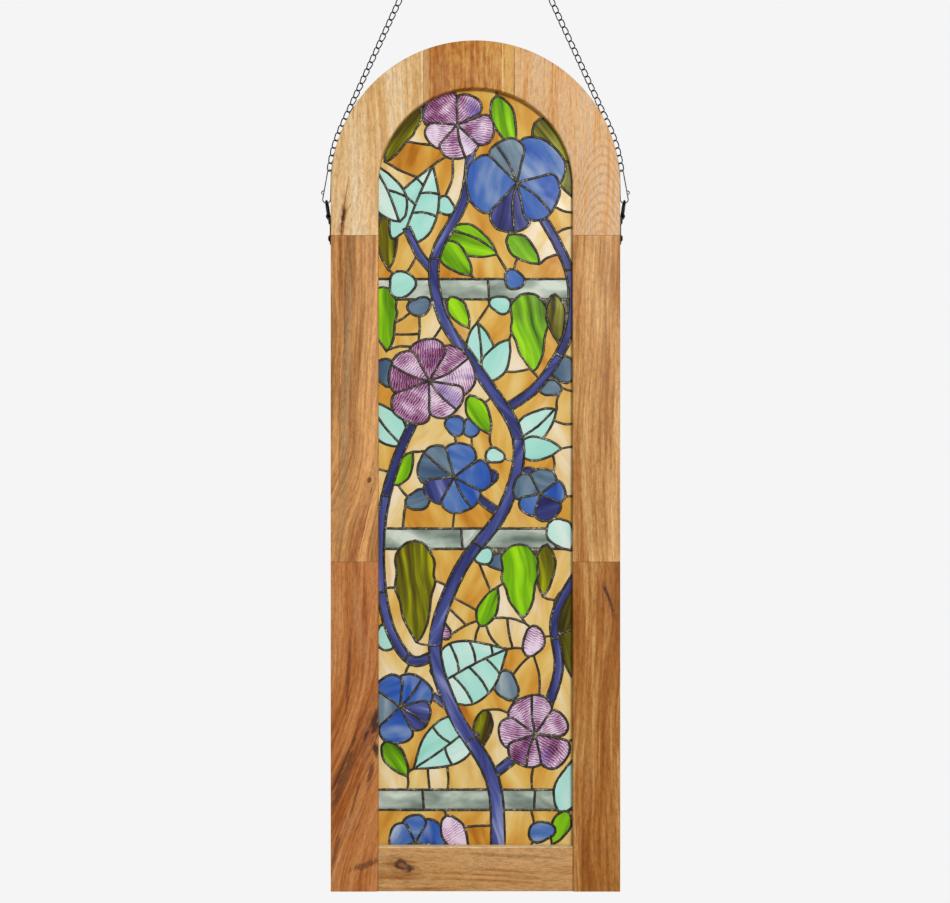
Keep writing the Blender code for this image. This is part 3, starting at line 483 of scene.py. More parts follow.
def arch_board(low_x, high_x):
    """One board of the head, between two upright glue lines."""
    made = bmesh.new()
    face = member_section(made)
    spun = bmesh.ops.spin(made, geom=[face], cent=(0, 0, SPRING_Z), axis=(0, -1, 0),
                          angle=math.pi, steps=ARCH_STEPS, use_merge=False)
    far_end = [item for item in spun["geom_last"] if isinstance(item, bmesh.types.BMFace)]
    for end in ([face], far_end):
        drawn_out(made, end, (0, 0, -ARCH_DROP + GAP / 2))
    bmesh.ops.delete(made, geom=[face] + far_end, context="FACES_ONLY")
    bmesh.ops.recalc_face_normals(made, faces=made.faces)
    for cut, side in ((low_x, -1), (high_x, 1)):
        if cut is None:
            continue
        geometry = made.verts[:] + made.edges[:] + made.faces[:]
        sliced = bmesh.ops.bisect_plane(made, geom=geometry, plane_co=(cut, 0, 0),
                                        plane_no=(side, 0, 0), clear_outer=True)
        rim = [item for item in sliced["geom_cut"] if isinstance(item, bmesh.types.BMEdge)]
        bmesh.ops.edgenet_fill(made, edges=rim)
    bmesh.ops.recalc_face_normals(made, faces=made.faces)
    return made


def stile(side, low_z, high_z):
    """A length of stile, with its grooved, rounded section."""
    made = bmesh.new()
    face = member_section(made)
    bmesh.ops.translate(made, verts=made.verts, vec=(0, 0, low_z - SPRING_Z))
    drawn_out(made, [face], (0, 0, high_z - low_z))
    if side < 0:
        bmesh.ops.scale(made, verts=made.verts, vec=(-1, 1, 1))
    bmesh.ops.recalc_face_normals(made, faces=made.faces)
    return made


def bottom_rail():
    """The rail between the stiles, drawn out from its own grooved section."""
    made = bmesh.new()
    front = -WOOD_THICKNESS / 2
    groove = GROOVE_WIDTH / 2
    foot = RAIL_TOP_Z - GROOVE_DEPTH
    section = [(front, BOTTOM_Z), (-front, BOTTOM_Z), (-front, RAIL_TOP_Z), (groove, RAIL_TOP_Z),
               (groove, foot), (-groove, foot), (-groove, RAIL_TOP_Z), (front, RAIL_TOP_Z)]
    reach = OPENING - GAP
    corners = [made.verts.new((-reach, depth, height)) for depth, height in section]
    outer = [corners[place] for place in (0, 1, 2, 7)]
    made.faces.new(corners)
    bmesh.ops.bevel(made, geom=outer, offset=EDGE_ROUND, offset_type="OFFSET", segments=3, profile=0.5,
                    affect="VERTICES", material=-1)
    drawn_out(made, made.faces[:], (2 * reach, 0, 0))
    bmesh.ops.recalc_face_normals(made, faces=made.faces)
    return made


def wooden_frame():
    """The eight boards. Each has four tones of its own, from its dark streaks to its light ones."""
    tan = [(0.0, "#D2A161"), (0.35, "#E2B87D"), (0.65, "#E7C494"), (1.0, "#EAD2AA")]
    curly = [(0.0, "#9F520D"), (0.35, "#B97427"), (0.62, "#C88C3D"), (1.0, "#D5A259")]
    pink = [(0.0, "#CB8841"), (0.4, "#DFAC72"), (0.7, "#DBB487"), (1.0, "#D0AE8A")]
    brown = [(0.0, "#95571C"), (0.35, "#B0763A"), (0.65, "#C58B51"), (1.0, "#E4A562")]
    warm = [(0.0, "#AA6D2D"), (0.35, "#C68E4E"), (0.65, "#DAA76A"), (1.0, "#FAD6A0")]
    red = [(0.0, "#9B5319"), (0.35, "#BA7136"), (0.65, "#C58046"), (1.0, "#D1955E")]
    sand = [(0.0, "#91500C"), (0.35, "#A46520"), (0.65, "#B47838"), (1.0, "#D3A160")]
    rail = [(0.0, "#A46930"), (0.35, "#C38E52"), (0.65, "#CA9961"), (1.0, "#CC9E68")]
    piece("arch_board_left", arch_board(None, -CROWN_BOARD_LEFT - GAP / 2), [board_wood(
        "oiled_mango_light", tan, 1.3, [
            ((-0.1425, -0.4240), (0.0050, 0.0300), 8, "#B8763E", 0.45, 0.0),
            ((-0.1427, -0.4300), (0.0030, 0.0180), 6, "#9C4F26", 0.7, 0.0),
            ((-0.1395, -0.4040), (0.0005, 0.0260), 9, "#7E4620", 0.8, 0.0),
            ((-0.1368, -0.4155), (0.0004, 0.0110), 34, "#8A5228", 0.8, 0.0),
            ((-0.1424, -0.4258), (0.0023, 0.0110), 10, "#3A180A", 0.97, 0.003),
            ((-0.1436, -0.4370), (0.0005, 0.0100), -4, "#54280F", 0.9, 0.0)])],
        ["arch_board_left"])
    crown = arch_board(-CROWN_BOARD_LEFT + GAP / 2, CROWN_BOARD_RIGHT - GAP / 2)
    piece("arch_board_crown", crown, [board_wood(
        "oiled_mango_curly", curly, 2.9, [
            ((-0.0530, -0.262), (0.0040, 0.5), 0, "#D2A566", 0.7, 0.0),
            ((-0.0360, -0.262), (0.0050, 0.5), 0, "#A96830", 0.5, 0.0),
            ((0.0360, -0.262), (0.0050, 0.5), 0, "#DDAA58", 0.8, 0.0),
            ((0.0292, -0.262), (0.0009, 0.5), 0, "#F0CC88", 0.8, 0.0)], curl=1.5)],
        ["arch_board_crown"])
    piece("arch_board_right", arch_board(CROWN_BOARD_RIGHT + GAP / 2, None), [board_wood(
        "oiled_mango_pink", pink, 4.1, arches=((0.1358, -0.299), 62.0, 0.0100))],
        ["arch_board_right"])
    top = (STILE_JOINT_Z + GAP / 2, ARCH_END_Z - GAP / 2)
    low = (BOTTOM_Z, STILE_JOINT_Z - GAP / 2)
    piece("stile_upper_left", stile(-1, *top), [board_wood(
        "oiled_mango_brown", brown, 5.7, [
            ((-0.1390, -0.6200), (0.0045, 0.1900), 2, "#98805E", 0.45, 0.0),
            ((-0.1400, -0.5200), (0.0014, 0.0700), 1, "#6E4A28", 0.6, 0.0),
            ((-0.1460, -0.6500), (0.0010, 0.0900), 0, "#6E4A28", 0.45, 0.0),
            ((-0.1165, -0.7080), (0.0060, 0.0120), 0, "#C8904A", 0.6, 0.0),
            ((-0.1143, -0.7068), (0.0020, 0.0026), 10, "#5A240E", 0.95, 0.0045),
            ((-0.1118, -0.7175), (0.0006, 0.0040), 15, "#4A2410", 0.9, 0.0),
            ((-0.1265, -0.7680), (0.0030, 0.0400), 14, "#A85E2A", 0.75, 0.0),
            ((-0.1190, -0.7550), (0.0008, 0.0300), 12, "#7E4420", 0.7, 0.0),
            ((-0.1143, -0.7068), (0.0008, 0.0011), 10, "#A8622E", 0.9, 0.0),
            ((-0.1310, -0.7600), (0.0007, 0.0300), 13, "#7E4420", 0.6, 0.0)], sway=(-0.66, -0.80, 0.036))],
        ["stile_upper_left"])
    piece("stile_upper_right", stile(1, *top), [board_wood(
        "oiled_mango_warm", warm, 11.7, [
            ((0.1400, -0.5600), (0.0016, 0.0900), -1, "#96622F", 0.5, 0.0),
            ((0.1200, -0.7400), (0.0050, 0.0400), -6, "#D9AC6C", 0.5, 0.0)])],
        ["stile_upper_right"])
    piece("stile_lower_left", stile(-1, *low), [board_wood(
        "oiled_mango_red", red, 7.9, [
            ((-0.1360, -0.9100), (0.0024, 0.0500), 3, "#643418", 0.65, 0.0),
            ((-0.1250, -0.8600), (0.0060, 0.0600), -8, "#BC8355", 0.5, 0.0),
            ((-0.1430, -1.0150), (0.0024, 0.0400), 24, "#4E2712", 0.7, 0.0),
            ((-0.1300, -0.9850), (0.0012, 0.0300), 14, "#5A2E16", 0.6, 0.0),
            ((-0.1150, -0.9780), (0.0090, 0.0340), 10, "#7A4426", 0.6, 0.004),
            ((-0.1080, -0.9680), (0.0040, 0.0170), 6, "#3A1C0E", 0.9, 0.0),
            ((-0.1170, -0.9800), (0.0022, 0.0060), 24, "#4A2614", 0.85, 0.0),
            ((-0.1070, -0.9960), (0.0032, 0.0080), -6, "#2E160C", 0.9, 0.0),
            ((-0.1130, -1.0220), (0.0030, 0.0160), 12, "#4A2614", 0.75, 0.0),
            ((-0.1410, -1.0260), (0.0055, 0.0380), 20, "#5A341C", 0.7, 0.0),
            ((-0.1290, -1.0480), (0.0016, 0.0260), 16, "#4A2814", 0.65, 0.0),
            ((-0.1340, -1.0760), (0.0080, 0.0200), 40, "#B87E50", 0.5, 0.0),
            ((-0.1180, -1.1200), (0.0190, 0.0040), -20, "#5E351C", 0.7, 0.0),
            ((-0.1500, -1.1050), (0.0028, 0.0260), 12, "#54290F", 0.6, 0.0)], sway=(-0.90, -1.15, 0.085))],
        ["stile_lower_left"])
    piece("stile_lower_right", stile(1, *low), [board_wood(
        "oiled_mango_sand", sand, 8.8, [
            ((0.1433, -0.8340), (0.0040, 0.0240), -20, "#8E5426", 0.5, 0.0),
            ((0.1437, -0.8350), (0.0015, 0.0150), -20, "#4E220E", 0.95, 0.003),
            ((0.1385, -0.8250), (0.0007, 0.0070), -30, "#5E3016", 0.85, 0.0),
            ((0.1464, -0.8480), (0.0009, 0.0080), -8, "#5E3016", 0.85, 0.0),
            ((0.1230, -1.0100), (0.0030, 0.0700), 3, "#C08A4E", 0.5, 0.0)])],
        ["stile_lower_right"])
    piece("bottom_rail", bottom_rail(), [board_wood(
        "oiled_mango_rail", rail, 9.4, [
            ((-0.0790, -1.1240), (0.0200, 0.0120), 20, "#9A6434", 0.5, 0.0),
            ((-0.0772, -1.1206), (0.0112, 0.0060), 24, "#3A1C0C", 0.95, 0.0055),
            ((-0.0772, -1.1206), (0.0062, 0.0026), 24, "#8C5A36", 0.95, 0.0),
            ((-0.0821, -1.1339), (0.0044, 0.0018), 30, "#A8552A", 0.8, 0.0),
            # Painted highlight: the rail's top face lightened as if lit from above; it is not a colour of the
            # wood.
            ((0.0, RAIL_TOP_Z), (1.0, 0.0010), 0, "#F4D6A2", 0.9, 0.0),
            ((0.0400, -1.1100), (0.0500, 0.0020), 3, "#8E5C2E", 0.5, 0.0)], grain_along_x=True)],
        ["bottom_rail"])


# Flat shapes of the picture, on squared paper with x from the middle and z from the rail's top

def smooth(points, parts):
    """A smooth line through the points, with each span in so many parts."""
    points = [Vector(point) for point in points]
    line = []
    for place in range(len(points) - 1):
        start = points[place]
        end = points[place + 1]
        before = points[place - 1] if place else start * 2 - end
        after = points[place + 2] if place + 2 < len(points) else end * 2 - start
        for part in range(parts):
            t = part / parts
            bend_in = (end - before) * (0.5 * (t - 2 * t ** 2 + t ** 3))
            bend_out = (after - start) * (0.5 * (t ** 3 - t ** 2))
            ease = 3 * t ** 2 - 2 * t ** 3
            line.append(start.lerp(end, ease) + bend_in + bend_out)
    return line + [points[-1]]


def two_sided(base, tip, width, spots):
    """A shape with a point at its foot and at its tip, its sides bulging through the spots."""
    base = Vector(base)
    along = Vector(tip) - base
    across = Vector((-along.y, along.x)).normalized() * width / 2
    right = [base + along * far - across * wide for far, wide in spots]
    left = [base + along * (far + 0.05 * math.sin(9 * far)) + across * (wide * 0.93) for far, wide in spots]
    up = smooth([base] + right + [base + along], CURVE_PARTS)
    down = smooth([base + along] + left[::-1] + [base], CURVE_PARTS)
    return up[:-1] + down[:-1]


def leaf(base, tip, width):
    """A plain pointed leaf."""
    return two_sided(base, tip, width, ((0.08, 0.55), (0.38, 1.0), (0.76, 0.60)))


def hanging_leaf(base, tip, width):
    """A long drooping leaf with a wavy edge."""
    return two_sided(base, tip, width, ((0.03, 0.50), (0.15, 0.96), (0.32, 0.92), (0.46, 1.0), (0.60, 0.78),
                                        (0.76, 0.62), (0.90, 0.28)))


def heart(base, tip, width):
    """A broad leaf whose lobes reach behind its foot."""
    return two_sided(base, tip, width, ((-0.12, 0.50), (0.14, 1.0), (0.58, 0.82)))


def petal(middle, angle, length, spread):
    """A rounded petal that widens from the middle of its blossom."""
    middle = Vector(middle)
    spots = [middle]
    for far, turn in ((0.45, -0.95), (0.84, -0.90), (1.03, -0.38), (1.0, 0.34), (0.86, 0.88), (0.45, 0.95)):
        way = math.radians(angle + turn * spread)
        spots.append(middle + Vector((math.cos(way), math.sin(way))) * (length * far))
    return smooth(spots + [middle], CURVE_PARTS)[:-1]


def blossom(middle, radius, petals, turn):
    """Petals round a middle, each of a slightly different length, width and aim."""
    step = 360 / petals
    outlines = []
    for place in range(petals):
        length = radius * (0.95 + 0.08 * math.sin(place * 2.3 + turn))
        aim = turn + place * step + 3 * math.sin(place * 1.7 + turn)
        outlines.append(petal(middle, aim, length, step / 2 + 5 + 8 * math.sin(place * 2.9 + turn)))
    return outlines


def petal_cuts(middle, radius, petals, turn, cut):
    """Seams from the middle of a blossom, each bending a little, through some of its petals."""
    middle = Vector(middle)
    seams = []
    for place, aim in cut:
        way = math.radians(turn + place * 360 / petals + aim)
        bend = math.radians(turn + place * 360 / petals + aim * 0.2)
        near = middle + Vector((math.cos(bend), math.sin(bend))) * radius * 0.5
        far = middle + Vector((math.cos(way), math.sin(way))) * radius * 1.3
        seams.append(smooth([middle, near, far], 4))
    return seams


def veins(base, tip, width, feet):
    """A midrib, and pairs of side veins that leave it at the given shares of its length."""
    base = Vector(base)
    along = Vector(tip) - base
    across = Vector((-along.y, along.x)).normalized() * width / 2
    seams = [smooth([base - along * 0.2, base + along * 0.5 + across * 0.06, base + along * 1.02], 4)]
    for number, foot in enumerate(feet):
        for side in (-1, 1):
            start = base + along * (foot + 0.05 * side) - across * (side * 0.2)
            near = start + along * 0.10 + across * (side * 0.75)
            end = start + along * 0.09 + across * (side * 1.8)
            seams.append(smooth([start, near, end], 4))
    return seams


def stem(points, start_width, end_width):
    """A ribbon along a smooth line, tapering from one end to the other."""
    line = smooth(points, CURVE_PARTS)
    left = []
    right = []
    for place, point in enumerate(line):
        after = line[min(place + 1, len(line) - 1)]
        before = line[max(place - 1, 0)]
        along = (after - before).normalized()
        share = place / (len(line) - 1)
        out = Vector((-along.y, along.x)) * (start_width + (end_width - start_width) * share) / 2
        left.append(point + out)
        right.append(point - out)
    return left + right[::-1]


def cross_cuts(points, shares):
    """Seams straight across a stem, at shares of its length."""
    line = smooth(points, CURVE_PARTS)
    seams = []
    for share in shares:
        place = max(1, round(share * (len(line) - 1)))
        along = (line[place] - line[place - 1]).normalized()
        out = Vector((-along.y, along.x)) * 1.1
        seams.append([line[place] - out, line[place] + out])
    return seams


def strip(height, thickness):
    """A trellis rail right across the panel."""
    far = SQUARES_ACROSS / 2 + 2
    low = height - thickness / 2
    high = height + thickness / 2
    return [Vector(corner) for corner in ((-far, low), (far, low), (far, high), (-far, high))]


def bud(middle, wide, tall):
    """A small rounded bud or leaf, each a little out of round in its own way."""
    outline = []
    for step in range(20):
        turn = 2 * math.pi * step / 20
        swell = 1 + 0.11 * math.sin(2 * turn + middle[0]) + 0.08 * math.sin(3 * turn + middle[1])
        outline.append(Vector(middle) + Vector((math.cos(turn) * wide, math.sin(turn) * tall)) * (swell / 2))
    return outline


LEFT_STEM = [(-4.0, 19.6), (-6.6, 19.0), (-8.8, 22.2), (-9.8, 27.2), (-9.7, 33.6), (-8.2, 39.6), (-5.6, 45.4)]
RIGHT_STEM = [(2.8, 44.8), (6.6, 47.6), (9.6, 52.8), (9.9, 58.4), (8.0, 63.0), (5.0, 67.6)]
LOW_STEM = [(6.6, 12.0), (8.6, 18.0), (8.2, 23.4), (10.8, 28.6)]
MAIN_STEM = [(2.4, -2.0), (1.8, 6.6), (-2.2, 13.6), (-4.2, 20.6), (-1.6, 28.4), (3.0, 34.8),
             (4.4, 42.0), (0.4, 48.8), (-3.4, 54.6), (-4.2, 60.6), (-1.2, 66.6), (-0.4, 72.4)]


def picture():
    """A climbing plant on a trellis. Each entry is the group of the solids that it belongs to, its
    glass, its shapes, and the seams that cut them; later entries lie on top of earlier ones."""
    return [
        ("rail_low", "rail", [strip(4.6, 2.1)], [[(-5.6, 7), (-5.2, 2)], [(6.2, 7), (6.0, 2)]]),
        ("rail_middle", "rail", [strip(31.6, 2.1)], [[(-1.6, 34), (-1.2, 29)], [(8.6, 34), (8.2, 29)]]),
        ("rail_high", "rail", [strip(57.4, 2.1)], [[(-7.6, 60), (-7.2, 55)], [(1.2, 60), (1.5, 55)]]),
        ("ground", "olive", [hanging_leaf((-6.0, 76.4), (-9.4, 70.6), 2.5)], []),
        ("ground", "olive", [hanging_leaf((6.6, 75.0), (10.9, 66.2), 3.1)],
         [[(7.6, 70.2), (9.4, 70.6), (11.5, 70.0)]]),
        ("ground", "green", [leaf((2.2, 77.4), (3.9, 72.0), 2.5)], []),
        ("ground", "green", [hanging_leaf((-9.6, 57.6), (-9.2, 51.0), 2.9)], []),
        ("ground", "mint", [leaf((-7.6, 41.2), (-11.0, 45.8), 3.4)],
         [[(-7.4, 41.0), (-9.4, 43.2), (-11.4, 46.2)]]),
        ("ground", "sky", [bud((9.0, 49.2), 2.6, 2.9)], []),
        ("ground", "sky", [bud((-9.3, 48.8), 2.3, 2.8)], []),
        ("ground", "blue", [bud((-0.4, 43.2), 2.2, 2.0)], []),
        ("ground", "indigo", [bud((1.1, 37.9), 2.2, 1.9)], []),
        ("ground", "sky", [bud((-5.9, 35.6), 2.4, 2.2)], []),
        ("ground", "mint", [leaf((8.0, 33.6), (9.9, 30.4), 2.9)], []),
        ("ground", "olive", [hanging_leaf((9.6, 26.4), (9.9, 17.4), 3.1)],
         [[(8.4, 21.6), (10.0, 22.2), (11.5, 21.8)]]),
        ("ground", "purple", [bud((6.0, 21.0), 2.3, 3.0)], []),
        ("ground", "sky", [bud((3.2, 16.4), 2.5, 3.0)], []),
        ("ground", "blue", blossom((-6.2, 0.2), 3.0, 5, 20), []),
        ("ground", "mint", [leaf((8.6, 3.4), (11.4, 9.6), 3.2)], []),
        ("ground", "green", [leaf((3.4, 63.0), (6.6, 60.0), 2.4), leaf((-8.5, 37.2), (-6.5, 40.6), 2.0),
                             leaf((-2.6, 56.6), (-0.7, 53.4), 2.0), leaf((-0.6, 46.4), (1.5, 42.4), 2.3),
                             leaf((0.4, 22.6), (2.3, 26.6), 2.1), leaf((9.6, 3.4), (7.9, 0.0), 2.0),
                             leaf((-9.4, 10.6), (-7.0, 7.0), 2.2)], []),
        ("ground", "olive", [leaf((8.2, 56.9), (8.6, 51.8), 2.1), leaf((1.2, 13.9), (0.2, 9.6), 2.0),
                             leaf((-9.2, 65.0), (-9.0, 59.4), 2.3), leaf((7.4, 31.0), (7.0, 25.6), 2.2)], []),
        ("ground", "mint sky mint blue", [
            bud((-7.6, 57.9), 3.0, 2.5), bud((-5.8, 55.6), 2.3, 2.0), bud((2.6, 55.8), 2.1, 1.9),
            bud((-2.1, 43.3), 2.2, 1.9), bud((2.0, 40.2), 1.8, 1.7), bud((2.4, 29.2), 2.1, 1.8),
            bud((0.9, 29.8), 1.8, 1.9), bud((6.8, 1.3), 2.6, 2.2), bud((-9.3, 21.3), 1.9, 2.6),
            bud((7.8, 47.2), 2.0, 1.8), bud((-3.1, 66.0), 1.8, 1.9), bud((4.0, 58.4), 2.2, 1.9)], []),
        ("ground", "purple", [leaf((-3.0, 3.0), (-1.0, -1.6), 2.6), bud((-3.3, 22.0), 1.5, 1.7)], []),
        ("leaf_olive_long", "olive", [hanging_leaf((-6.2, 31.4), (-6.1, 20.9), 4.3)], []),
        ("leaf_green_long", "green", [hanging_leaf((5.5, 57.0), (5.9, 48.9), 4.0)], []),
        ("leaf_green_low", "green", [hanging_leaf((4.6, 31.0), (4.8, 23.4), 4.0)], []),
        ("leaves_green_top", "green", [
            leaf((-2.9, 63.6), (2.2, 61.0), 3.3),
            leaf((-3.7, 62.4), (-0.4, 58.8), 2.7)], [[(-3.0, 63.7), (0.2, 62.6), (3.0, 60.6)]]),
        ("leaves_mint_top", "mint", [
            heart((-7.2, 63.4), (-4.4, 70.2), 4.8),
            leaf((-7.8, 64.4), (-10.8, 70.4), 3.6)],
         veins((-7.2, 63.4), (-4.4, 70.2), 4.8, (0.3, 0.6)) + [[(-7.8, 64.2), (-9.0, 67.4), (-10.8, 70.8)]]),
        ("leaves_mint_high", "mint", [
            leaf((0.6, 48.2), (0.2, 54.0), 3.4),
            leaf((0.9, 48.0), (3.5, 52.2), 2.8)], [[(0.6, 48.0), (0.6, 51.0), (0.2, 54.4)]]),
        ("leaves_mint_middle", "mint", [
            leaf((4.2, 41.8), (8.4, 45.0), 3.1),
            leaf((4.2, 41.0), (8.9, 40.9), 2.6)], [[(4.2, 41.8), (6.4, 43.2), (8.6, 45.4)]]),
        ("leaf_mint_low", "mint", [heart((-2.9, 17.0), (3.3, 20.2), 6.8)],
         veins((-2.9, 17.0), (3.3, 20.2), 6.8, (0.12, 0.4, 0.68))),
        ("leaf_mint_foot", "mint", [heart((-1.2, 11.6), (-6.4, 7.8), 4.8)],
         veins((-1.2, 11.6), (-6.4, 7.8), 4.8, (0.3,))),
        ("vine", "indigo", [
            stem(LEFT_STEM, 0.95, 0.85),
            stem([(1.6, 7.0), (4.6, 9.4), (6.4, 11.4)], 0.9, 0.8),
            stem(LOW_STEM, 0.9, 0.8),
            stem(RIGHT_STEM, 0.9, 0.8),
            stem([(-4.1, 59.0), (-5.8, 61.0), (-7.1, 63.7)], 0.8, 0.7),
            stem([(2.6, 34.2), (0.6, 35.6), (-1.6, 37.8)], 0.8, 0.7),
            stem([(4.0, 37.6), (5.6, 38.6), (7.4, 37.0)], 0.8, 0.7),
            stem([(-2.4, 14.0), (-4.8, 15.4), (-7.6, 14.6)], 0.8, 0.7),
            stem(MAIN_STEM, 1.4, 0.85)],
         cross_cuts(LEFT_STEM, (0.2, 0.45, 0.75)) + cross_cuts(LOW_STEM, (0.5,))
         + cross_cuts(RIGHT_STEM, (0.3, 0.62)) + cross_cuts(MAIN_STEM, (0.14, 0.27, 0.4, 0.55, 0.68, 0.82))),
        ("blossom_blue_top", "blue sky blue indigo blue", blossom((4.3, 68.4), 5.2, 5, 40),
         petal_cuts((4.3, 68.4), 5.2, 5, 40, ((1, 10), (3, 14), (4, -12)))),
        ("blossom_purple_top", "purple", blossom((-1.9, 74.4), 3.7, 5, 62),
         petal_cuts((-1.9, 74.4), 3.7, 5, 62, ((3, 8),))),
        ("blossom_purple_middle", "purple", blossom((-4.8, 47.9), 4.6, 5, 20),
         petal_cuts((-4.8, 47.9), 4.6, 5, 20, ((0, 12), (2, -10), (4, 8)))),
        ("blossom_blue_middle", "blue sky indigo blue blue", blossom((-2.2, 38.0), 3.8, 5, 75),
         petal_cuts((-2.2, 38.0), 3.8, 5, 75, ((1, -8), (3, 10)))),
        ("blossom_blue_right", "blue sky sky blue indigo", blossom((6.7, 36.2), 2.8, 5, 10), []),
        ("blossom_blue_low", "blue blue sky blue indigo", blossom((-7.8, 14.2), 3.6, 5, 45),
         petal_cuts((-7.8, 14.2), 3.6, 5, 45, ((0, 8), (4, -8)))),
        ("blossom_purple_low", "purple", blossom((6.2, 11.4), 3.9, 5, 30),
         petal_cuts((6.2, 11.4), 3.9, 5, 30, ((1, -8), (3, 12)))),
    ]


# Cutting the panel up along the outlines

def area(loop):
    """Area of a loop, positive where it runs anticlockwise."""
    total = 0.0
    for place, point in enumerate(loop):
        total += loop[place - 1].cross(point)
    return total / 2


def anticlockwise(loop):
    return loop if area(loop) > 0 else loop[::-1]


def panel_outline(radius, foot_z, steps=ARCH_STEPS):
    """The arched outline of a panel, anticlockwise from its lower right corner."""
    outline = [Vector((radius, foot_z))]
    for step in range(steps + 1):
        turn = math.pi * step / steps
        outline.append(Vector((radius * math.cos(turn), SPRING_Z + radius * math.sin(turn))))
    return outline + [Vector((-radius, foot_z))]


def on_panel(point):
    """From the squared paper to metres."""
    return Vector((point[0] * SQUARE_X, RAIL_TOP_Z + point[1] * SQUARE_Z))


def clockwise(start, end):
    """Clockwise turn from one direction to another, between 0 and a whole turn."""
    turn = math.atan2(start.y, start.x) - math.atan2(end.y, end.x)
    return turn % (2 * math.pi)


def region_loops(points, triangles):
    """Outlines of a set of triangles, with the inside on the left."""
    halves = set()
    for corners in triangles:
        for place in range(3):
            halves.add((corners[place], corners[(place + 1) % 3]))
    leaving = {}
    for start, end in sorted(halves):
        if (end, start) not in halves:
            leaving.setdefault(start, []).append(end)
    loops = []
    while leaving:
        first = min(leaving)
        loop = [first]
        here = first
        came_from = None
        while True:
            choices = leaving[here]
            if came_from is None or len(choices) == 1:
                after = min(choices)
            else:
                back = points[came_from] - points[here]
                after = min(choices, key=lambda end: clockwise(back, points[end] - points[here]))
            choices.remove(after)
            if not choices:
                del leaving[here]
            if after == first:
                break
            loop.append(after)
            came_from = here
            here = after
        loops.append([points[corner] for corner in loop])
    return loops


def near_line(loop, start, end, slack):
    """Whether every point between two places of a loop is near the line that joins them."""
    count = len(loop)
    line = loop[end % count] - loop[start % count]
    if line.length < slack:
        return False
    for place in range(start + 1, end):
        away = loop[place % count] - loop[start % count]
        if abs(line.cross(away)) / line.length > slack or line.dot(away) < 0:
            return False
    return True


def straightened(loop, slack):
    """The loop without points that lie near the line between the points that stay."""
    count = len(loop)
    first = max(range(count), key=lambda place: loop[place].length)
    kept = [first]
    here = first
    while here < first + count:
        ahead = here + 1
        while ahead < first + count and near_line(loop, here, ahead + 1, slack):
            ahead += 1
        here = ahead
        kept.append(here)
    return [loop[place % count] for place in kept[:-1]]


def moved_in(loop, distance):
    """Each side moved to its left by a distance, with long outward corners cut off square."""
    moved = []
    count = len(loop)
    for place, point in enumerate(loop):
        before = (point - loop[place - 1]).normalized()
        after = (loop[(place + 1) % count] - point).normalized()
        out_before = Vector((-before.y, before.x))
        out_after = Vector((-after.y, after.x))
        both = out_before + out_after
        reach = distance * 2 / max(both.length_squared, 1e-9)
        if before.cross(after) < 0 and both.length * reach > distance * CORNER_LENGTH:
            moved.append(point + (out_before + before * CORNER_CUT) * distance)
            moved.append(point + (out_after - after * CORNER_CUT) * distance)
        else:
            moved.append(point + both * reach)
    return moved


def winding(loops, place):
    """How many times the loops go round a place."""
    total = 0.0
    for loop in loops:
        for corner, point in enumerate(loop):
            start = loop[corner - 1] - place
            end = point - place
            total += math.atan2(start.cross(end), start.dot(end))
    return round(total / (2 * math.pi))


def fill(loops):
    """Triangles of what the loops go round once, with any part that they cross twice left out."""
    points = []
    sides = []
    for loop in loops:
        first = len(points)
        points.extend(loop)
        for place in range(len(loop)):
            sides.append((first + place, first + (place + 1) % len(loop)))
    found = delaunay_2d_cdt(points, sides, [], 0, MERGE, True)
    points = found[0]
    kept = []
    for corners in found[2]:
        middle = (points[corners[0]] + points[corners[1]] + points[corners[2]]) / 3
        if winding(loops, middle) == 1:
            kept.append(corners)
    return points, kept


def joined_up(triangles, owners=None, walls=None):
    """Sets of triangles that share sides, an owner, and no wall between them."""
    beside = {}
    for number, corners in enumerate(triangles):
        for place in range(3):
            beside[(corners[place], corners[(place + 1) % 3])] = number
    left = set(range(len(triangles)))
    sets = []
    while left:
        seed = min(left)
        left.discard(seed)
        grown = [seed]
        for number in grown:
            corners = triangles[number]
            for place in range(3):
                side = (corners[(place + 1) % 3], corners[place])
                other = beside.get(side)
                if other not in left:
                    continue
                if owners and owners[other] != owners[number]:
                    continue
                if walls and (min(side), max(side), owners[number]) in walls:
                    continue
                left.discard(other)
                grown.append(other)
        sets.append(grown)
    return sets


def clearance(loops, place):
    """How far a place is from the nearest side of the loops."""
    nearest = math.inf
    for loop in loops:
        for corner, end in enumerate(loop):
            side = end - loop[corner - 1]
            share = (place - loop[corner - 1]).dot(side) / side.length_squared
            foot = loop[corner - 1] + side * min(1.0, max(0.0, share))
            nearest = min(nearest, (place - foot).length)
    return nearest


def without_spikes(loop, width):
    """The loop without its sharp corners, back to where they are of some width."""
    kept = list(loop)
    place = 0
    while place < len(kept) and len(kept) > 3:
        end = kept[(place + 1) % len(kept)]
        before = (kept[place] - kept[place - 1]).normalized()
        after = (end - kept[place]).normalized()
        narrow = (end - kept[place - 1]).length < width
        if narrow and before.dot(after) < SPIKE_TURN and before.cross(after) > -0.05:
            del kept[place]
            place = max(0, place - 2)
        else:
            place += 1
    return kept


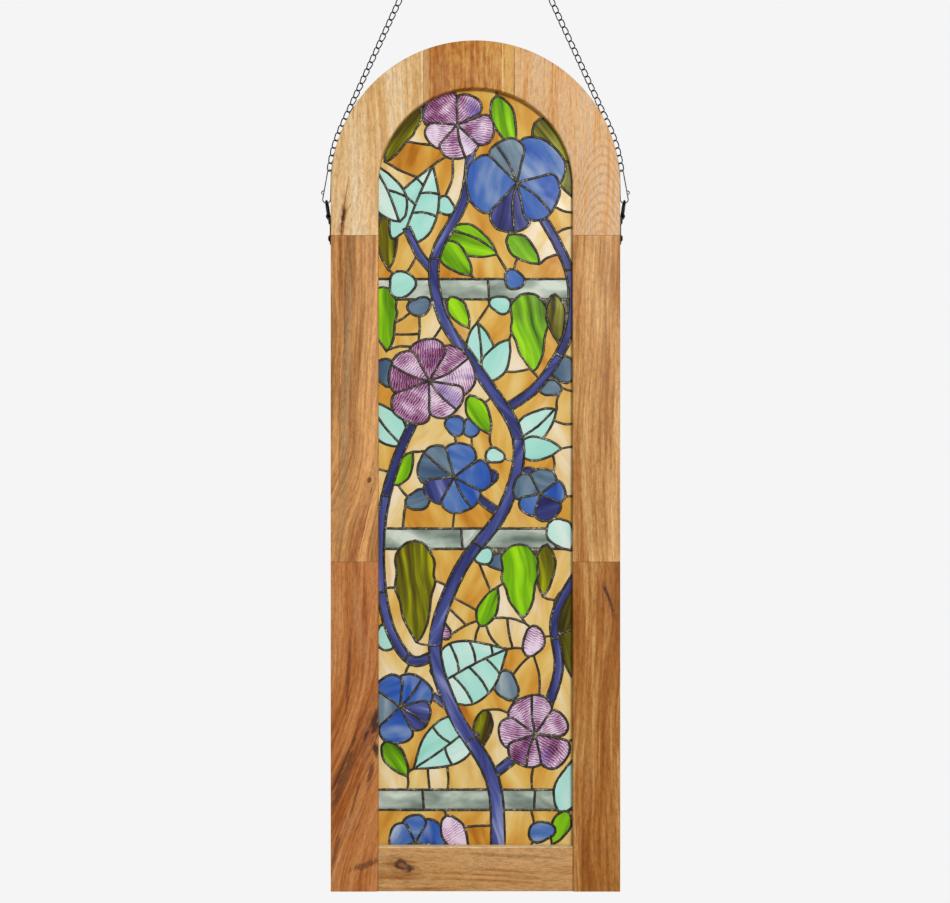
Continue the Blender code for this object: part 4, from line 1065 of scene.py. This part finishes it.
def inset(loops, distance):
    """The bodies left when a region's edge is moved in by a distance."""
    points, triangles = fill([moved_in(without_spikes(loop, 2 * distance), distance) for loop in loops])
    inside = []
    for corners in triangles:
        middle = (points[corners[0]] + points[corners[1]] + points[corners[2]]) / 3
        if clearance(loops, middle) > CLEAR_SHARE * distance and winding(loops, middle) == 1:
            inside.append(corners)
    triangles = inside
    bodies = []
    for grown in joined_up(triangles):
        found = []
        for loop in region_loops(points, [triangles[number] for number in grown]):
            clear = [point for point in loop
                     if clearance(loops, point) > CLEAR_SHARE * distance and winding(loops, point) == 1]
            if len(clear) > 2:
                found.append(straightened(clear, SLACK))
        if found and sum(area(loop) for loop in found) > SMALLEST_TILE:
            bodies.append(found)
    return bodies


def spaced(loop, step):
    """A closed loop with points added, so that none of its sides is longer than the step."""
    line = []
    for place, end in enumerate(loop):
        start = loop[place - 1]
        parts = max(1, math.ceil((end - start).length / step))
        for part in range(parts):
            line.append(start.lerp(end, part / parts))
    return line


def wavering(point, amount):
    """A place shifted a little, as a hand-run line wanders."""
    shift = noise.noise_vector(Vector((point.x, point.y, 0.0)) * LINE_WAVERS)
    return point + Vector((shift.x, shift.y)) * amount


def bent_line(start, end, bend):
    """A line between two places, bowed sideways by a share of its length."""
    away = end - start
    bow = start + away / 2 + Vector((-away.y, away.x)) * bend
    parts = max(2, round(away.length / CUT_PART))
    return [Vector(point) for point in smooth([start, bow, end], parts)]


def cut_fits(loops, line):
    """Whether a cut stays inside a tile and well clear of its edge, apart from the cut's two ends."""
    for place, point in enumerate(line[1:-1], 1):
        from_end = min((point - line[0]).length, (point - line[-1]).length)
        room = min(CUT_CLEARANCE, CUT_END_ROOM * from_end)
        if winding(loops, point) != 1 or clearance(loops, point) < room:
            return False
    return (line[-1] - line[0]).length > CUT_CLEARANCE


def poke(spots, place):
    """How sharply a neighbour pokes into a tile at one of its corners, as an angle."""
    here = spots[place]
    before = after = place
    while (spots[before] - here).length < CUT_STEP and place - before < len(spots) // 3:
        before -= 1
    while (spots[after % len(spots)] - here).length < CUT_STEP and after - place < len(spots) // 3:
        after += 1
    way_in = here - spots[before]
    way_out = spots[after % len(spots)] - here
    return max(0.0, math.atan2(-way_in.cross(way_out), way_in.dot(way_out)))


def halved(loop):
    """Two parts of a tile and the cut between them: short, from where neighbours poke in, and with
    parts of like size. None if no such cut fits."""
    spots = spaced(loop, CUT_STEP)
    whole = area(spots)
    pokes = [poke(spots, place) for place in range(len(spots))]
    swept = [0.0]
    for place in range(1, len(spots)):
        swept.append(swept[-1] + spots[place - 1].cross(spots[place]) / 2)
    choices = []
    for first in range(len(spots)):
        for second in range(first + 2, len(spots)):
            part = swept[second] - swept[first] + spots[second].cross(spots[first]) / 2
            share = min(part, whole - part) / whole
            if share > LEAST_SHARE:
                length = (spots[second] - spots[first]).length / math.sqrt(whole)
                score = length - POKE_WEIGHT * (pokes[first] + pokes[second])
                score = score + EVEN_WEIGHT * (0.5 - share) ** 2
                choices.append((score, first, second))
    bend = draw.uniform(-CUT_BEND, CUT_BEND)
    for score, first, second in sorted(choices)[:CUT_TRIES]:
        line = bent_line(spots[first], spots[second], bend)
        if cut_fits([loop], line):
            inner = line[1:-1]
            one = spots[first:second + 1] + inner[::-1]
            two = spots[second:] + spots[:first + 1] + inner
            return (one, two), line
    return None


def stretch(loop, start, end):
    """The part of a closed loop from one place on to another."""
    return loop[start:end + 1] if start <= end else loop[start:] + loop[:end + 1]


def hole_opened(loops):
    """A tile with a hole cut in two through the hole. Gives both parts and the two cuts."""
    outer = max(loops, key=area)
    hole = next(loop for loop in loops if loop is not outer)
    others = [loop for loop in loops if loop is not outer and loop is not hole]
    rim = spaced(outer, CUT_STEP)
    inner = spaced(hole, CUT_STEP)
    middle = sum(inner, Vector((0.0, 0.0))) / len(inner)
    choices = sorted(((start - end).length, place, number) for place, start in enumerate(rim)
                     for number, end in enumerate(inner))
    found = []
    for length, place, number in choices:
        line = bent_line(rim[place], inner[number], HOLE_CUT_BEND)
        if found:
            way = (inner[number] - middle).normalized()
            first_way = (inner[found[0][1]] - middle).normalized()
            apart = min((one - two).length for one in line for two in found[0][2])
            if way.dot(first_way) > HOLE_CUT_TURN or apart < 2 * CUT_CLEARANCE:
                continue
        if cut_fits(loops, line):
            found.append((place, number, line))
            if len(found) == 2:
                break
    if len(found) < 2:
        return None
    (rim_a, hole_a, cut_a), (rim_b, hole_b, cut_b) = sorted(found, key=lambda cut: cut[0])
    one = stretch(rim, rim_a, rim_b) + cut_b[1:-1] + stretch(inner, hole_b, hole_a) + cut_a[1:-1][::-1]
    two = stretch(rim, rim_b, rim_a) + cut_a[1:-1] + stretch(inner, hole_a, hole_b) + cut_b[1:-1][::-1]
    parts = [[one], [two]]
    for other in others:
        parts[0 if winding([one], other[0]) else 1].append(other)
    return parts, [cut_a, cut_b]


def divided(loops):
    """A tile of the ground cut until no part is larger than its limit, each part with its cuts."""
    if len(loops) > 1:
        opened = hole_opened(loops)
        if not opened:
            return [(loops, [])]
        parts, cuts = opened
        done = divided(parts[0]) + divided(parts[1])
        done[0][1].extend(cuts)
        return done
    whole = area(loops[0])
    if whole < draw.uniform(*LARGEST_TILES):
        return [(loops, [])]
    cut = halved(loops[0])
    if not cut:
        return [(loops, [])]
    (one, two), line = cut
    done = divided([straightened(one, SLACK)]) + divided([straightened(two, SLACK)])
    done[0][1].append(line)
    return done


def cut_tiles():
    """Cut the panel into tiles. Gives each tile's outlines with its group and glass, and the lines
    between the tiles."""
    border = panel_outline(PANEL_RADIUS - BORDER_WIDTH + LEAD_WIDTH / 2,
                           PANEL_FOOT_Z + BORDER_WIDTH - LEAD_WIDTH / 2)
    entries = [("ground", "amber", [], [])] + picture()
    outlines = [border]
    entry_of = [0]
    kind_of = ["amber"]
    seams = []
    for number, (group, glass, shapes, cuts) in enumerate(entries):
        kinds = glass.split()
        for place, shape in enumerate(shapes):
            outlines.append([on_panel(point) for point in shape])
            entry_of.append(number)
            kind_of.append(kinds[place % len(kinds)])
        for cut in cuts:
            seams.append((number, [on_panel(point) for point in (smooth(cut, 4) if len(cut) == 3 else cut)]))
    points = []
    faces = []
    for outline in outlines:
        faces.append(list(range(len(points), len(points) + len(outline))))
        points.extend(anticlockwise(outline))
    sides = []
    cut_by = []
    for number, seam in seams:
        first = len(points)
        points.extend(Vector(point) for point in seam)
        for place in range(len(seam) - 1):
            sides.append((first + place, first + place + 1))
            cut_by.append(number)
    found = delaunay_2d_cdt(points, sides, faces, 1, MERGE, True)
    points, edges, triangles, covers = found[0], found[1], found[2], found[5]
    inside = [number for number, over in enumerate(covers) if 0 in over]
    triangles = [triangles[number] for number in inside]
    tops = [max(covers[number]) for number in inside]
    walls = set()
    for (start, end), sources in zip(edges, found[4]):
        for source in sources:
            if source < len(sides):
                for shape, number in enumerate(entry_of):
                    if number == cut_by[source]:
                        walls.add((min(start, end), max(start, end), shape))
    tiles = []
    lines = set()
    for grown in joined_up(triangles, tops, walls):
        mine = [triangles[number] for number in grown]
        loops = region_loops(points, mine)
        top = tops[grown[0]]
        whole = [straightened(loop, SLACK) for loop in loops]
        parts = divided(whole) if kind_of[top] == "amber" else [(whole, [])]
        for part, cuts in parts:
            tiles.append((entries[entry_of[top]][0], kind_of[top], part))
            for cut in cuts:
                first = len(points)
                points.extend(cut)
                lines.update((first + place, first + place + 1) for place in range(len(cut) - 1))
        halves = set()
        for corners in mine:
            for place in range(3):
                halves.add((corners[place], corners[(place + 1) % 3]))
        for start, end in halves:
            if (end, start) not in halves:
                lines.add((min(start, end), max(start, end)))
    return tiles, points, sorted(lines)


def leading(openings, panes, points, lines):
    """The whole solder net: thin at its edges, crowned along its middle, lumpy and raised where
    lines meet."""
    outer = spaced(panel_outline(PANEL_RADIUS, PANEL_FOOT_Z), LINE_STEP * 3)
    spots = list(outer)
    heights = [LEAD_THICKNESS / 2] * len(outer)
    faces = [list(range(len(outer)))]
    for opening in openings:
        for loop in opening:
            if area(loop) < 0:
                continue
            edge = [wavering(point, LINE_WAVER) for point in spaced(loop, LINE_STEP)]
            faces.append(list(range(len(spots), len(spots) + len(edge))))
            spots.extend(edge)
            heights.extend([SOLDER_EDGE] * len(edge))
    for pane in panes:
        for loop in pane:
            shoulder = spaced(loop, LINE_STEP)
            spots.extend(shoulder)
            for point in shoulder:
                heights.append(SOLDER_SHOULDER + SOLDER_LUMP * lump(point))
    meeting = {}
    for line in lines:
        for end in line:
            meeting[end] = meeting.get(end, 0) + 1
    sides = []
    number_of = {}
    for start, end in lines:
        for corner in (start, end):
            if corner not in number_of:
                number_of[corner] = len(spots)
                spots.append(points[corner])
                joint = SOLDER_JOINT if meeting[corner] > 2 else 0.0
                heights.append(SOLDER_CROWN + joint + SOLDER_LUMP * lump(points[corner]))
        parts = max(1, math.ceil((points[end] - points[start]).length / LINE_STEP))
        last = number_of[start]
        for part in range(1, parts):
            point = points[start].lerp(points[end], part / parts)
            spots.append(point)
            heights.append(SOLDER_CROWN + SOLDER_LUMP * lump(point))
            sides.append((last, len(spots) - 1))
            last = len(spots) - 1
        sides.append((last, number_of[end]))
    found = delaunay_2d_cdt(spots, sides, faces, 1, MERGE, True)
    made = bmesh.new()
    corners = []
    for point, sources in zip(found[0], found[3]):
        height = max((heights[source] for source in sources), default=SOLDER_SHOULDER)
        corners.append(made.verts.new((point.x, -height, point.y)))
    for triangle, over in zip(found[2], found[5]):
        if over == [0]:
            made.faces.new([corners[number] for number in triangle])
    loose = [corner for corner in made.verts if not corner.link_faces]
    bmesh.ops.delete(made, geom=loose, context="VERTS")
    for corner in drawn_out(made, made.faces[:], (0, 0, 0)):
        corner.co.y = -corner.co.y
    bmesh.ops.recalc_face_normals(made, faces=made.faces)
    return made


def lump(point):
    """How high the solder stands at a place, between -1 and 1."""
    return noise.noise(Vector((point.x * SOLDER_LUMPS, point.y * SOLDER_LUMPS, 3.0)))


def long_way(loops):
    """Direction of a tile's greatest length, as an angle."""
    corners = [point for loop in loops for point in loop]
    middle = sum(corners, Vector((0.0, 0.0))) / len(corners)
    spread_x = sum((point.x - middle.x) ** 2 for point in corners)
    spread_y = sum((point.y - middle.y) ** 2 for point in corners)
    both = sum((point.x - middle.x) * (point.y - middle.y) for point in corners)
    return 0.5 * math.atan2(2 * both, spread_x - spread_y)


def add_tile(made, sheet, lot, loops, turn, slot):
    """A tile of glass, tilted a little in its lead, with its own cut of the sheet."""
    points, triangles = fill(loops)
    front = [made.verts.new((point.x, -GLASS_THICKNESS / 2, point.y)) for point in points]
    faces = [made.faces.new([front[number] for number in triangle]) for triangle in triangles]
    corners = front + drawn_out(made, faces, (0, GLASS_THICKNESS, 0))
    middle = sum((corner.co for corner in corners), Vector()) / len(corners)
    tilt = Matrix.Rotation(draw.uniform(-TILE_TILT, TILE_TILT), 3, "X")
    tilt = tilt @ Matrix.Rotation(draw.uniform(-TILE_TILT, TILE_TILT), 3, "Z")
    bmesh.ops.rotate(made, verts=corners, cent=middle, matrix=tilt)
    shift = Vector((draw.uniform(0, SHEET_REACH), draw.uniform(0, SHEET_REACH)))
    chance = (draw.random(), draw.random(), draw.random(), 1.0)
    cos_turn = math.cos(turn)
    sin_turn = math.sin(turn)
    for face in {face for corner in corners for face in corner.link_faces}:
        face.material_index = slot
        for loop in face.loops:
            x = loop.vert.co.x - middle.x
            z = loop.vert.co.z - middle.z
            loop[sheet].uv = Vector((x * cos_turn + z * sin_turn, z * cos_turn - x * sin_turn)) + shift
            loop[lot] = chance


def leaded_panel():
    """The tiles, each with the glass solid that it stands for, and the solder net around them."""
    glass = {
        "amber": sheet_glass("opalescent_amber", [
            (0.1, "#B87010"), (0.26, "#D99A34"), (0.46, "#E8BC5C"), (0.66, "#F2D48C"), (0.86, "#FBEACB")],
            44.0, 12.0, 0.5, stain="#D08A30"),
        "rail": sheet_glass("opalescent_grey_green", [
            (0.08, "#5A6A60"), (0.34, "#87958A"), (0.58, "#AAB8AA"), (0.82, "#DCE6D8")], 48.0, 20.0, 0.85),
        "indigo": sheet_glass("opalescent_indigo", [
            (0.1, "#23245E"), (0.4, "#363C7C"), (0.65, "#525BA0"), (0.9, "#9AA2D0")], 90.0, 9.0, 0.75),
        "blue": sheet_glass("opalescent_blue", [
            (0.05, "#1D3E9E"), (0.3, "#2F5CB8"), (0.55, "#4C74BC"), (0.75, "#6E8CC0"), (0.95, "#B4C4DC")],
            48.0, 12.0, 0.75, stain="#A9BBD8"),
        "sky": sheet_glass("opalescent_grey_blue", [
            (0.1, "#35506E"), (0.4, "#4E6A86"), (0.7, "#7C93A4"), (0.95, "#B9C7C6")], 48.0, 12.0, 0.7),
        "purple": sheet_glass("rippled_purple", [
            (0.2, "#43132F"), (0.45, "#7A3C64"), (0.68, "#B07CA6"), (0.96, "#F0DCEE")], 60.0, 40.0, 0.6,
            0.15, 125.0, "#5C50A8"),
        "mint": sheet_glass("opalescent_mint", [
            (0.05, "#93DCCC"), (0.35, "#B0EBDD"), (0.65, "#C3F1E6"), (0.92, "#E6F9F1")], 55.0, 14.0, 0.5),
        "green": sheet_glass("opalescent_green", [
            (0.08, "#3A6000"), (0.32, "#6AA800"), (0.6, "#8ED206"), (0.82, "#AEEE10"), (0.97, "#B0A820")],
            95.0, 8.0, 0.85, stain="#56680A"),
        "olive": sheet_glass("opalescent_olive", [
            (0.1, "#241F00"), (0.34, "#524800"), (0.56, "#787800"), (0.76, "#A8AC00"), (0.95, "#CCB808")],
            95.0, 7.0, 0.9, stain="#6A3802"),
    }
    slot_of = {kind: "glass_" + kind for kind in glass}
    slot_of["rail"] = "glass_grey_green"
    order = list(glass)
    trees = {}
    for name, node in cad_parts.items():
        if name.startswith("glass_"):
            solid = bmesh.new()
            solid.from_mesh(node.data)
            trees[name] = BVHTree.FromBMesh(solid)
            solid.free()
    tiles, points, lines = cut_tiles()
    openings = []
    panes = []
    made = {}
    mains = {"ground": "amber"}
    for group, kinds, shapes, cuts in picture():
        mains.setdefault(group, kinds.split()[0])
    for group, kind, loops in tiles:
        opened = inset(loops, SOLDER_WIDTH / 2)
        if not opened:
            continue
        openings.extend(opened)
        for pane in inset(loops, SOLDER_WIDTH / 4):
            panes.append(pane)
            name = solid_behind(trees, "glass_%s_" % group, pane)
            made.setdefault(name, []).append((kind, pane))
    for name in sorted(made):
        built = bmesh.new()
        sheet = built.loops.layers.uv.new("sheet")
        lot = built.loops.layers.float_color.new("tile")
        used = sorted({kind for kind, pane in made[name]}, key=order.index)
        for kind, pane in made[name]:
            along = long_way(pane)
            if kind == "amber":
                along = math.radians(90 + draw.uniform(-GROUND_TURN, GROUND_TURN))
            turn = along + draw.uniform(-TILE_TURN, TILE_TURN)
            add_tile(built, sheet, lot, pane, turn, used.index(kind))
        bmesh.ops.recalc_face_normals(built, faces=built.faces)
        group = max((group for group in mains if name.startswith("glass_" + group)), key=len)
        piece(name + "_tiles", built, [glass[kind] for kind in used], [name])
    piece("solder_net", leading(openings, panes, points, lines), [solder_finish()],
          ["leading"], 60)


def solid_behind(trees, start, pane):
    """The glass solid of the right group that lies behind most of a tile."""
    points, triangles = fill(pane)
    tally = {}
    for corners in triangles:
        middle = (points[corners[0]] + points[corners[1]] + points[corners[2]]) / 3
        for name, tree in trees.items():
            if name.startswith(start) and tree.ray_cast((middle.x, -0.1, middle.y), (0, 1, 0))[0]:
                tally[name] = tally.get(name, 0) + 1
    if tally:
        return max(sorted(tally), key=tally.get)
    middle = sum(pane[0], Vector((0.0, 0.0))) / len(pane[0])
    names = sorted(name for name in trees if name.startswith(start))
    return min(names, key=lambda name: trees[name].find_nearest((middle.x, 0.0, middle.y))[3])


# Hanging gear

def chain_path():
    """The right leg's middle line: straight from the ring, then along the outside of the arch."""
    radius = HALF + LINK_WIDTH / 2 + GAP
    centre = Vector((0, SPRING_Z))
    lean = math.asin(radius / (RING_Z - SPRING_Z))
    way = Vector((math.sin(lean), -math.cos(lean)))
    start = Vector((0, RING_Z)) + way * RING_RADIUS
    touch = centre + Vector((math.cos(lean), math.sin(lean))) * radius
    end_turn = math.asin(CLIP_HEIGHT / radius)
    return [start, touch] + arc(centre, radius, lean, end_turn, 12)[1:]


def along_path(path, distance):
    """The place and direction at a distance along a path."""
    for place in range(len(path) - 1):
        span = path[place + 1] - path[place]
        if distance <= span.length or place == len(path) - 2:
            way = span.normalized()
            return path[place] + way * distance, way
        distance -= span.length


def curb_link(length):
    """A link bent to an oval and twisted about its length, so that the chain lies flat."""
    half_width = (LINK_WIDTH - CHAIN_WIRE) / 2
    half_length = (length - CHAIN_WIRE) / 2
    straight = half_length - half_width
    path = []
    for end in (1, -1):
        for step in range(LINK_STEPS + 1):
            turn = math.pi * step / LINK_STEPS
            across = math.cos(turn) * half_width * end
            along = (straight + math.sin(turn) * half_width) * end
            path.append((across, along))
    spots = []
    for across, along in path:
        twist = math.radians(LINK_TWIST) * along / half_length
        spots.append(Vector((across * math.cos(twist), across * math.sin(twist), along)))
    return wire_mesh(spots, CHAIN_WIRE / 2, True, 1)


def chain(side):
    """A leg of the chain, with an even number of links from the ring to the clip."""
    path = chain_path()
    length = sum((path[place + 1] - path[place]).length for place in range(len(path) - 1))
    first_bar = RING_WIRE / 2 + GAP
    last_bar = CLIP_WIRE / 2 + GAP
    reach = length + first_bar + last_bar
    count = 2 * round((reach - 0.5 * LINK_PITCH) / LINK_PITCH / 2)
    pitch = (reach + LINK_OVERLAP) / count
    link = curb_link(pitch - LINK_OVERLAP + 2 * CHAIN_WIRE)
    link_mesh = bpy.data.meshes.new("link")
    link.to_mesh(link_mesh)
    link.free()
    made = bmesh.new()
    for place in range(count):
        spot, way = along_path(path, (place + 0.5) * pitch - LINK_OVERLAP / 2 - first_bar)
        before = len(made.verts)
        made.from_mesh(link_mesh)
        made.verts.ensure_lookup_table()
        mine = made.verts[before:]
        along = Vector((side * way.x, 0, way.y))
        across = Vector((along.z, 0, -along.x))
        facing = Matrix((across, along.cross(across), along)).transposed()
        lie = Matrix.Rotation(draw.uniform(-LINK_SWING, LINK_SWING) + LINK_LEAN, 3, "Z")
        bmesh.ops.transform(made, verts=mine, matrix=(facing @ lie).to_4x4())
        bmesh.ops.translate(made, verts=mine, vec=(side * spot.x, 0, spot.y))
    bpy.data.meshes.remove(link_mesh)
    return made


def clip_foot():
    """The lowest place on the middle line of the clip's wire."""
    top = chain_path()[-1]
    out = HALF + 2 * GAP + CLIP_WIRE / 2 + CLIP_FOOT_RADIUS
    return Vector((out, top.y - CLIP_LENGTH + CLIP_TOP_RADIUS))


def wire_clip(side):
    """A pear-shaped spring wire with a hooked gate: the gate's tip is bent round the back wire."""
    top = chain_path()[-1] - Vector((0, CLIP_TOP_RADIUS))
    foot = clip_foot() + Vector((0, CLIP_FOOT_RADIUS))
    loop = arc(top, CLIP_TOP_RADIUS, 0, math.pi, 11)
    loop += arc(foot, CLIP_FOOT_RADIUS, math.radians(185), math.radians(355), 15)
    made = wire_mesh(upright(loop, side), CLIP_WIRE / 2, True)
    catch_z = foot.y + CATCH_HEIGHT
    catch_x = foot.x + CLIP_FOOT_RADIUS * 0.86
    bends = [(-0.0012, -0.0012, 0.0016), (0.0004, -0.0013, 0.0010), (0.0016, -0.0006, 0.0002),
             (0.0018, 0.0006, -0.0010), (0.0008, 0.0012, -0.0022)]
    hook = [Vector((side * (catch_x + out), away, catch_z + up)) for out, away, up in bends]
    join(made, wire_mesh(hook, CLIP_WIRE / 2 * 0.9, False))
    return made


def ring_tops():
    """Where the D-ring's bow touches the clip, and the middle of its bar in the strap's fold."""
    bow = clip_foot() + Vector((0, CLIP_WIRE / 2 + GAP + D_WIRE / 2))
    fold = D_WIRE / 2 + GAP + STRAP_THICKNESS
    out = HALF + GAP + fold
    drop = math.sqrt(D_HEIGHT ** 2 - (bow.x - out) ** 2)
    return bow, Vector((out, bow.y - drop))


def d_ring(side):
    """A straight bar with a round bow, leaning out to meet the clip."""
    bow, bar = ring_tops()
    up = (bow - bar).normalized()
    lean = Vector((side * up.x, 0, up.y))
    wide = Vector((0, 1, 0))
    half = D_WIDTH / 2 - D_WIRE / 2
    foot = Vector((side * bar.x, 0, bar.y))
    middle = foot + lean * (D_HEIGHT - half)
    loop = []
    for sideways, turns in ((-1, (0, 30, 60)), (1, (60, 30, 0))):
        for turn in turns:
            way = math.radians(turn)
            loop.append(foot + wide * (sideways * (half - D_BEND + D_BEND * math.cos(way)))
                        + lean * (D_BEND - D_BEND * math.sin(way)))
    steps = 18
    for step in range(steps + 1):
        turn = math.pi * step / steps
        loop.append(middle + wide * (half * math.cos(turn)) + lean * (half * math.sin(turn)))
    return wire_mesh(loop, D_WIRE / 2, True)


def strap_plate(side):
    """A steel strip that lies on the wood, folds round the D-ring's bar and comes back on itself."""
    bar = ring_tops()[1]
    outer = D_WIRE / 2 + GAP + STRAP_THICKNESS
    inner = outer - STRAP_THICKNESS
    foot = bar.y - STRAP_LENGTH
    back = bar.x - outer
    face = back + STRAP_THICKNESS + GAP
    tail = bar.y - STRAP_RETURN
    last_turn = math.radians(-54)
    inside = arc(bar, inner, math.pi, last_turn, 14)
    outside = arc(bar, outer, math.pi, last_turn, 14)
    slope = -math.cos(last_turn) / math.sin(last_turn)
    inner_bend = inside[-1].y + (face - inside[-1].x) * slope
    outer_bend = outside[-1].y + (face + STRAP_THICKNESS - outside[-1].x) * slope
    profile = [Vector((back, foot)), Vector((back + STRAP_THICKNESS, foot))] + inside
    profile += [Vector((face, inner_bend)), Vector((face, tail)), Vector((face + STRAP_THICKNESS, tail)),
                Vector((face + STRAP_THICKNESS, outer_bend))] + outside[::-1]
    made = bmesh.new()
    corners = [made.verts.new((side * point.x, -STRAP_WIDTH / 2, point.y)) for point in profile]
    drawn_out(made, [made.faces.new(corners)], (0, STRAP_WIDTH, 0))
    bmesh.ops.recalc_face_normals(made, faces=made.faces)
    rims = [edge for edge in made.edges if edge.calc_face_angle(0) > math.radians(50)]
    bmesh.ops.bevel(made, geom=rims, offset=0.00018, offset_type="OFFSET", segments=2, profile=0.5,
                    affect="EDGES", material=-1, clamp_overlap=True)
    return made


def plate_screw(side):
    """A pan-head screw with a cross recess, its shank in the wood."""
    height = ring_tops()[1].y - STRAP_LENGTH + SCREW_UP
    seat = HALF + GAP + STRAP_THICKNESS + GAP
    flat = HEAD_RADIUS * 0.5
    profile = [(0.0, -SCREW_LENGTH), (SCREW_RADIUS * 0.2, -SCREW_LENGTH),
               (SCREW_RADIUS, -SCREW_LENGTH + 0.0025),
               (SCREW_RADIUS, 0.0), (HEAD_RADIUS * 0.94, 0.0), (HEAD_RADIUS, HEAD_HEIGHT * 0.2),
               (HEAD_RADIUS * 0.97, HEAD_HEIGHT * 0.5), (HEAD_RADIUS * 0.8, HEAD_HEIGHT * 0.82),
               (flat, HEAD_HEIGHT)]
    made = bmesh.new()
    corners = [made.verts.new((side * (seat + out), away, height)) for away, out in profile]
    sides = [made.edges.new((corners[place], corners[place + 1])) for place in range(len(corners) - 1)]
    bmesh.ops.spin(made, geom=corners + sides, cent=(0, 0, height), axis=(1, 0, 0), angle=2 * math.pi,
                   steps=24, use_merge=True)
    rim = arc(Vector((0, 0)), flat, 0, 2 * math.pi, 24)[:-1]
    half = RECESS_WIDTH / 2
    cross = []
    for quarter in range(4):
        turn = Matrix.Rotation(math.radians(90 * quarter), 2)
        for spot in ((RECESS_REACH, -half), (RECESS_REACH, half), (half, half)):
            cross.append(turn @ Vector(spot))
    faces = [list(range(len(rim))), list(range(len(rim), len(rim) + len(cross)))]
    found = delaunay_2d_cdt(rim + cross, [], faces, 1, MERGE, True)
    top = [made.verts.new((side * (seat + HEAD_HEIGHT), spot.x, height + spot.y)) for spot in found[0]]
    sunk = []
    for triangle, over in zip(found[2], found[5]):
        face = made.faces.new([top[number] for number in triangle])
        if 1 in over:
            sunk.append(face)
    drawn_out(made, sunk, (-side * RECESS_DEPTH, 0, 0))
    bmesh.ops.delete(made, geom=[face for face in sunk if face.is_valid], context="FACES")
    bmesh.ops.remove_doubles(made, verts=made.verts, dist=MERGE)
    bmesh.ops.recalc_face_normals(made, faces=made.faces)
    return made


def hanging_gear():
    """The ring, and on each side the chain, clip, D-ring, strap and screw."""
    black = steel_finish("blackened_steel", "#141414", "#3A3A3A", 0.36)
    bright = steel_finish("spring_wire", "#1C1E20", "#55585A", 0.3)
    circle = upright(arc(Vector((0, RING_Z)), RING_RADIUS, 0, 2 * math.pi, 48)[:-1])
    piece("hanging_ring_wire", wire_mesh(circle, RING_WIRE / 2, True), [black],
          ["hanging_ring"])
    for word, side in (("left", -1), ("right", 1)):
        piece("curb_chain_" + word, chain(side), [black], ["chain_" + word])
        piece("snap_clip_" + word, wire_clip(side), [bright], ["wire_clip_" + word])
        piece("d_ring_wire_" + word, d_ring(side), [black], ["d_ring_" + word])
        piece("folded_strap_" + word, strap_plate(side), [black], ["strap_plate_" + word])
        piece("pan_screw_" + word, plate_screw(side), [black], ["plate_screw_" + word])


# Studio

CAMERA_DISTANCE = 1.25  # from the front of the wood
VIEW_WIDTH = 1.01954  # width seen at the front of the wood
VIEW_MIDDLE = (-0.0005, -0.6762)
FILL_STRENGTH = 0.5  # of the light from all round, as a share of the background's brightness
LAMP_PLACE = (0.81, -2.78, 0.26)
LAMP_AIM = (0.0, 0.0, -0.55)
LAMP_SIZE = 0.7
LAMP_POWER = 60.0
FLOOR_RADIUS = 0.42
FLOOR_DROP = 0.30  # from the foot of the frame


def studio():
    """Camera straight in front, a soft lamp high on the right, a pale background and a floor."""
    scene = bpy.context.scene
    scene.view_settings.view_transform = "Standard"
    world = bpy.data.worlds.new("pale_studio")
    world.use_nodes = True
    background = world.node_tree.nodes["Background"].inputs
    background["Color"].default_value = linear("#F5F5F5")
    seen = add(world.node_tree, "ShaderNodeLightPath").outputs["Is Camera Ray"]
    strength = add(world.node_tree, "ShaderNodeMapRange", {"Value": seen, "To Min": FILL_STRENGTH}).outputs[0]
    world.node_tree.links.new(strength, background["Strength"])
    scene.world = world
    camera_data = bpy.data.cameras.new("camera")
    camera_data.sensor_width = 36.0
    camera_data.lens = 36.0 * CAMERA_DISTANCE / VIEW_WIDTH
    camera = bpy.data.objects.new("camera", camera_data)
    camera.location = (VIEW_MIDDLE[0], -WOOD_THICKNESS / 2 - CAMERA_DISTANCE, VIEW_MIDDLE[1])
    camera.rotation_euler = (math.radians(90), 0, 0)
    scene.collection.objects.link(camera)
    scene.camera = camera
    key = bpy.data.lights.new("key", "AREA")
    key.shape = "DISK"
    key.size = LAMP_SIZE
    key.energy = LAMP_POWER
    key.color = (1.0, 0.98, 0.95)
    lamp = bpy.data.objects.new("key", key)
    lamp.location = LAMP_PLACE
    aim = Vector(LAMP_AIM) - lamp.location
    lamp.rotation_euler = aim.to_track_quat("-Z", "Y").to_euler()
    scene.collection.objects.link(lamp)
    floor = bmesh.new()
    bmesh.ops.create_circle(floor, cap_ends=True, segments=96, radius=FLOOR_RADIUS,
                            matrix=Matrix.Translation((0, 0, BOTTOM_Z - FLOOR_DROP)))
    ground = new_object("studio_floor", floor, [studio_card("painted_board", "#EDEDEC")])


wooden_frame()
leaded_panel()
hanging_gear()
studio()
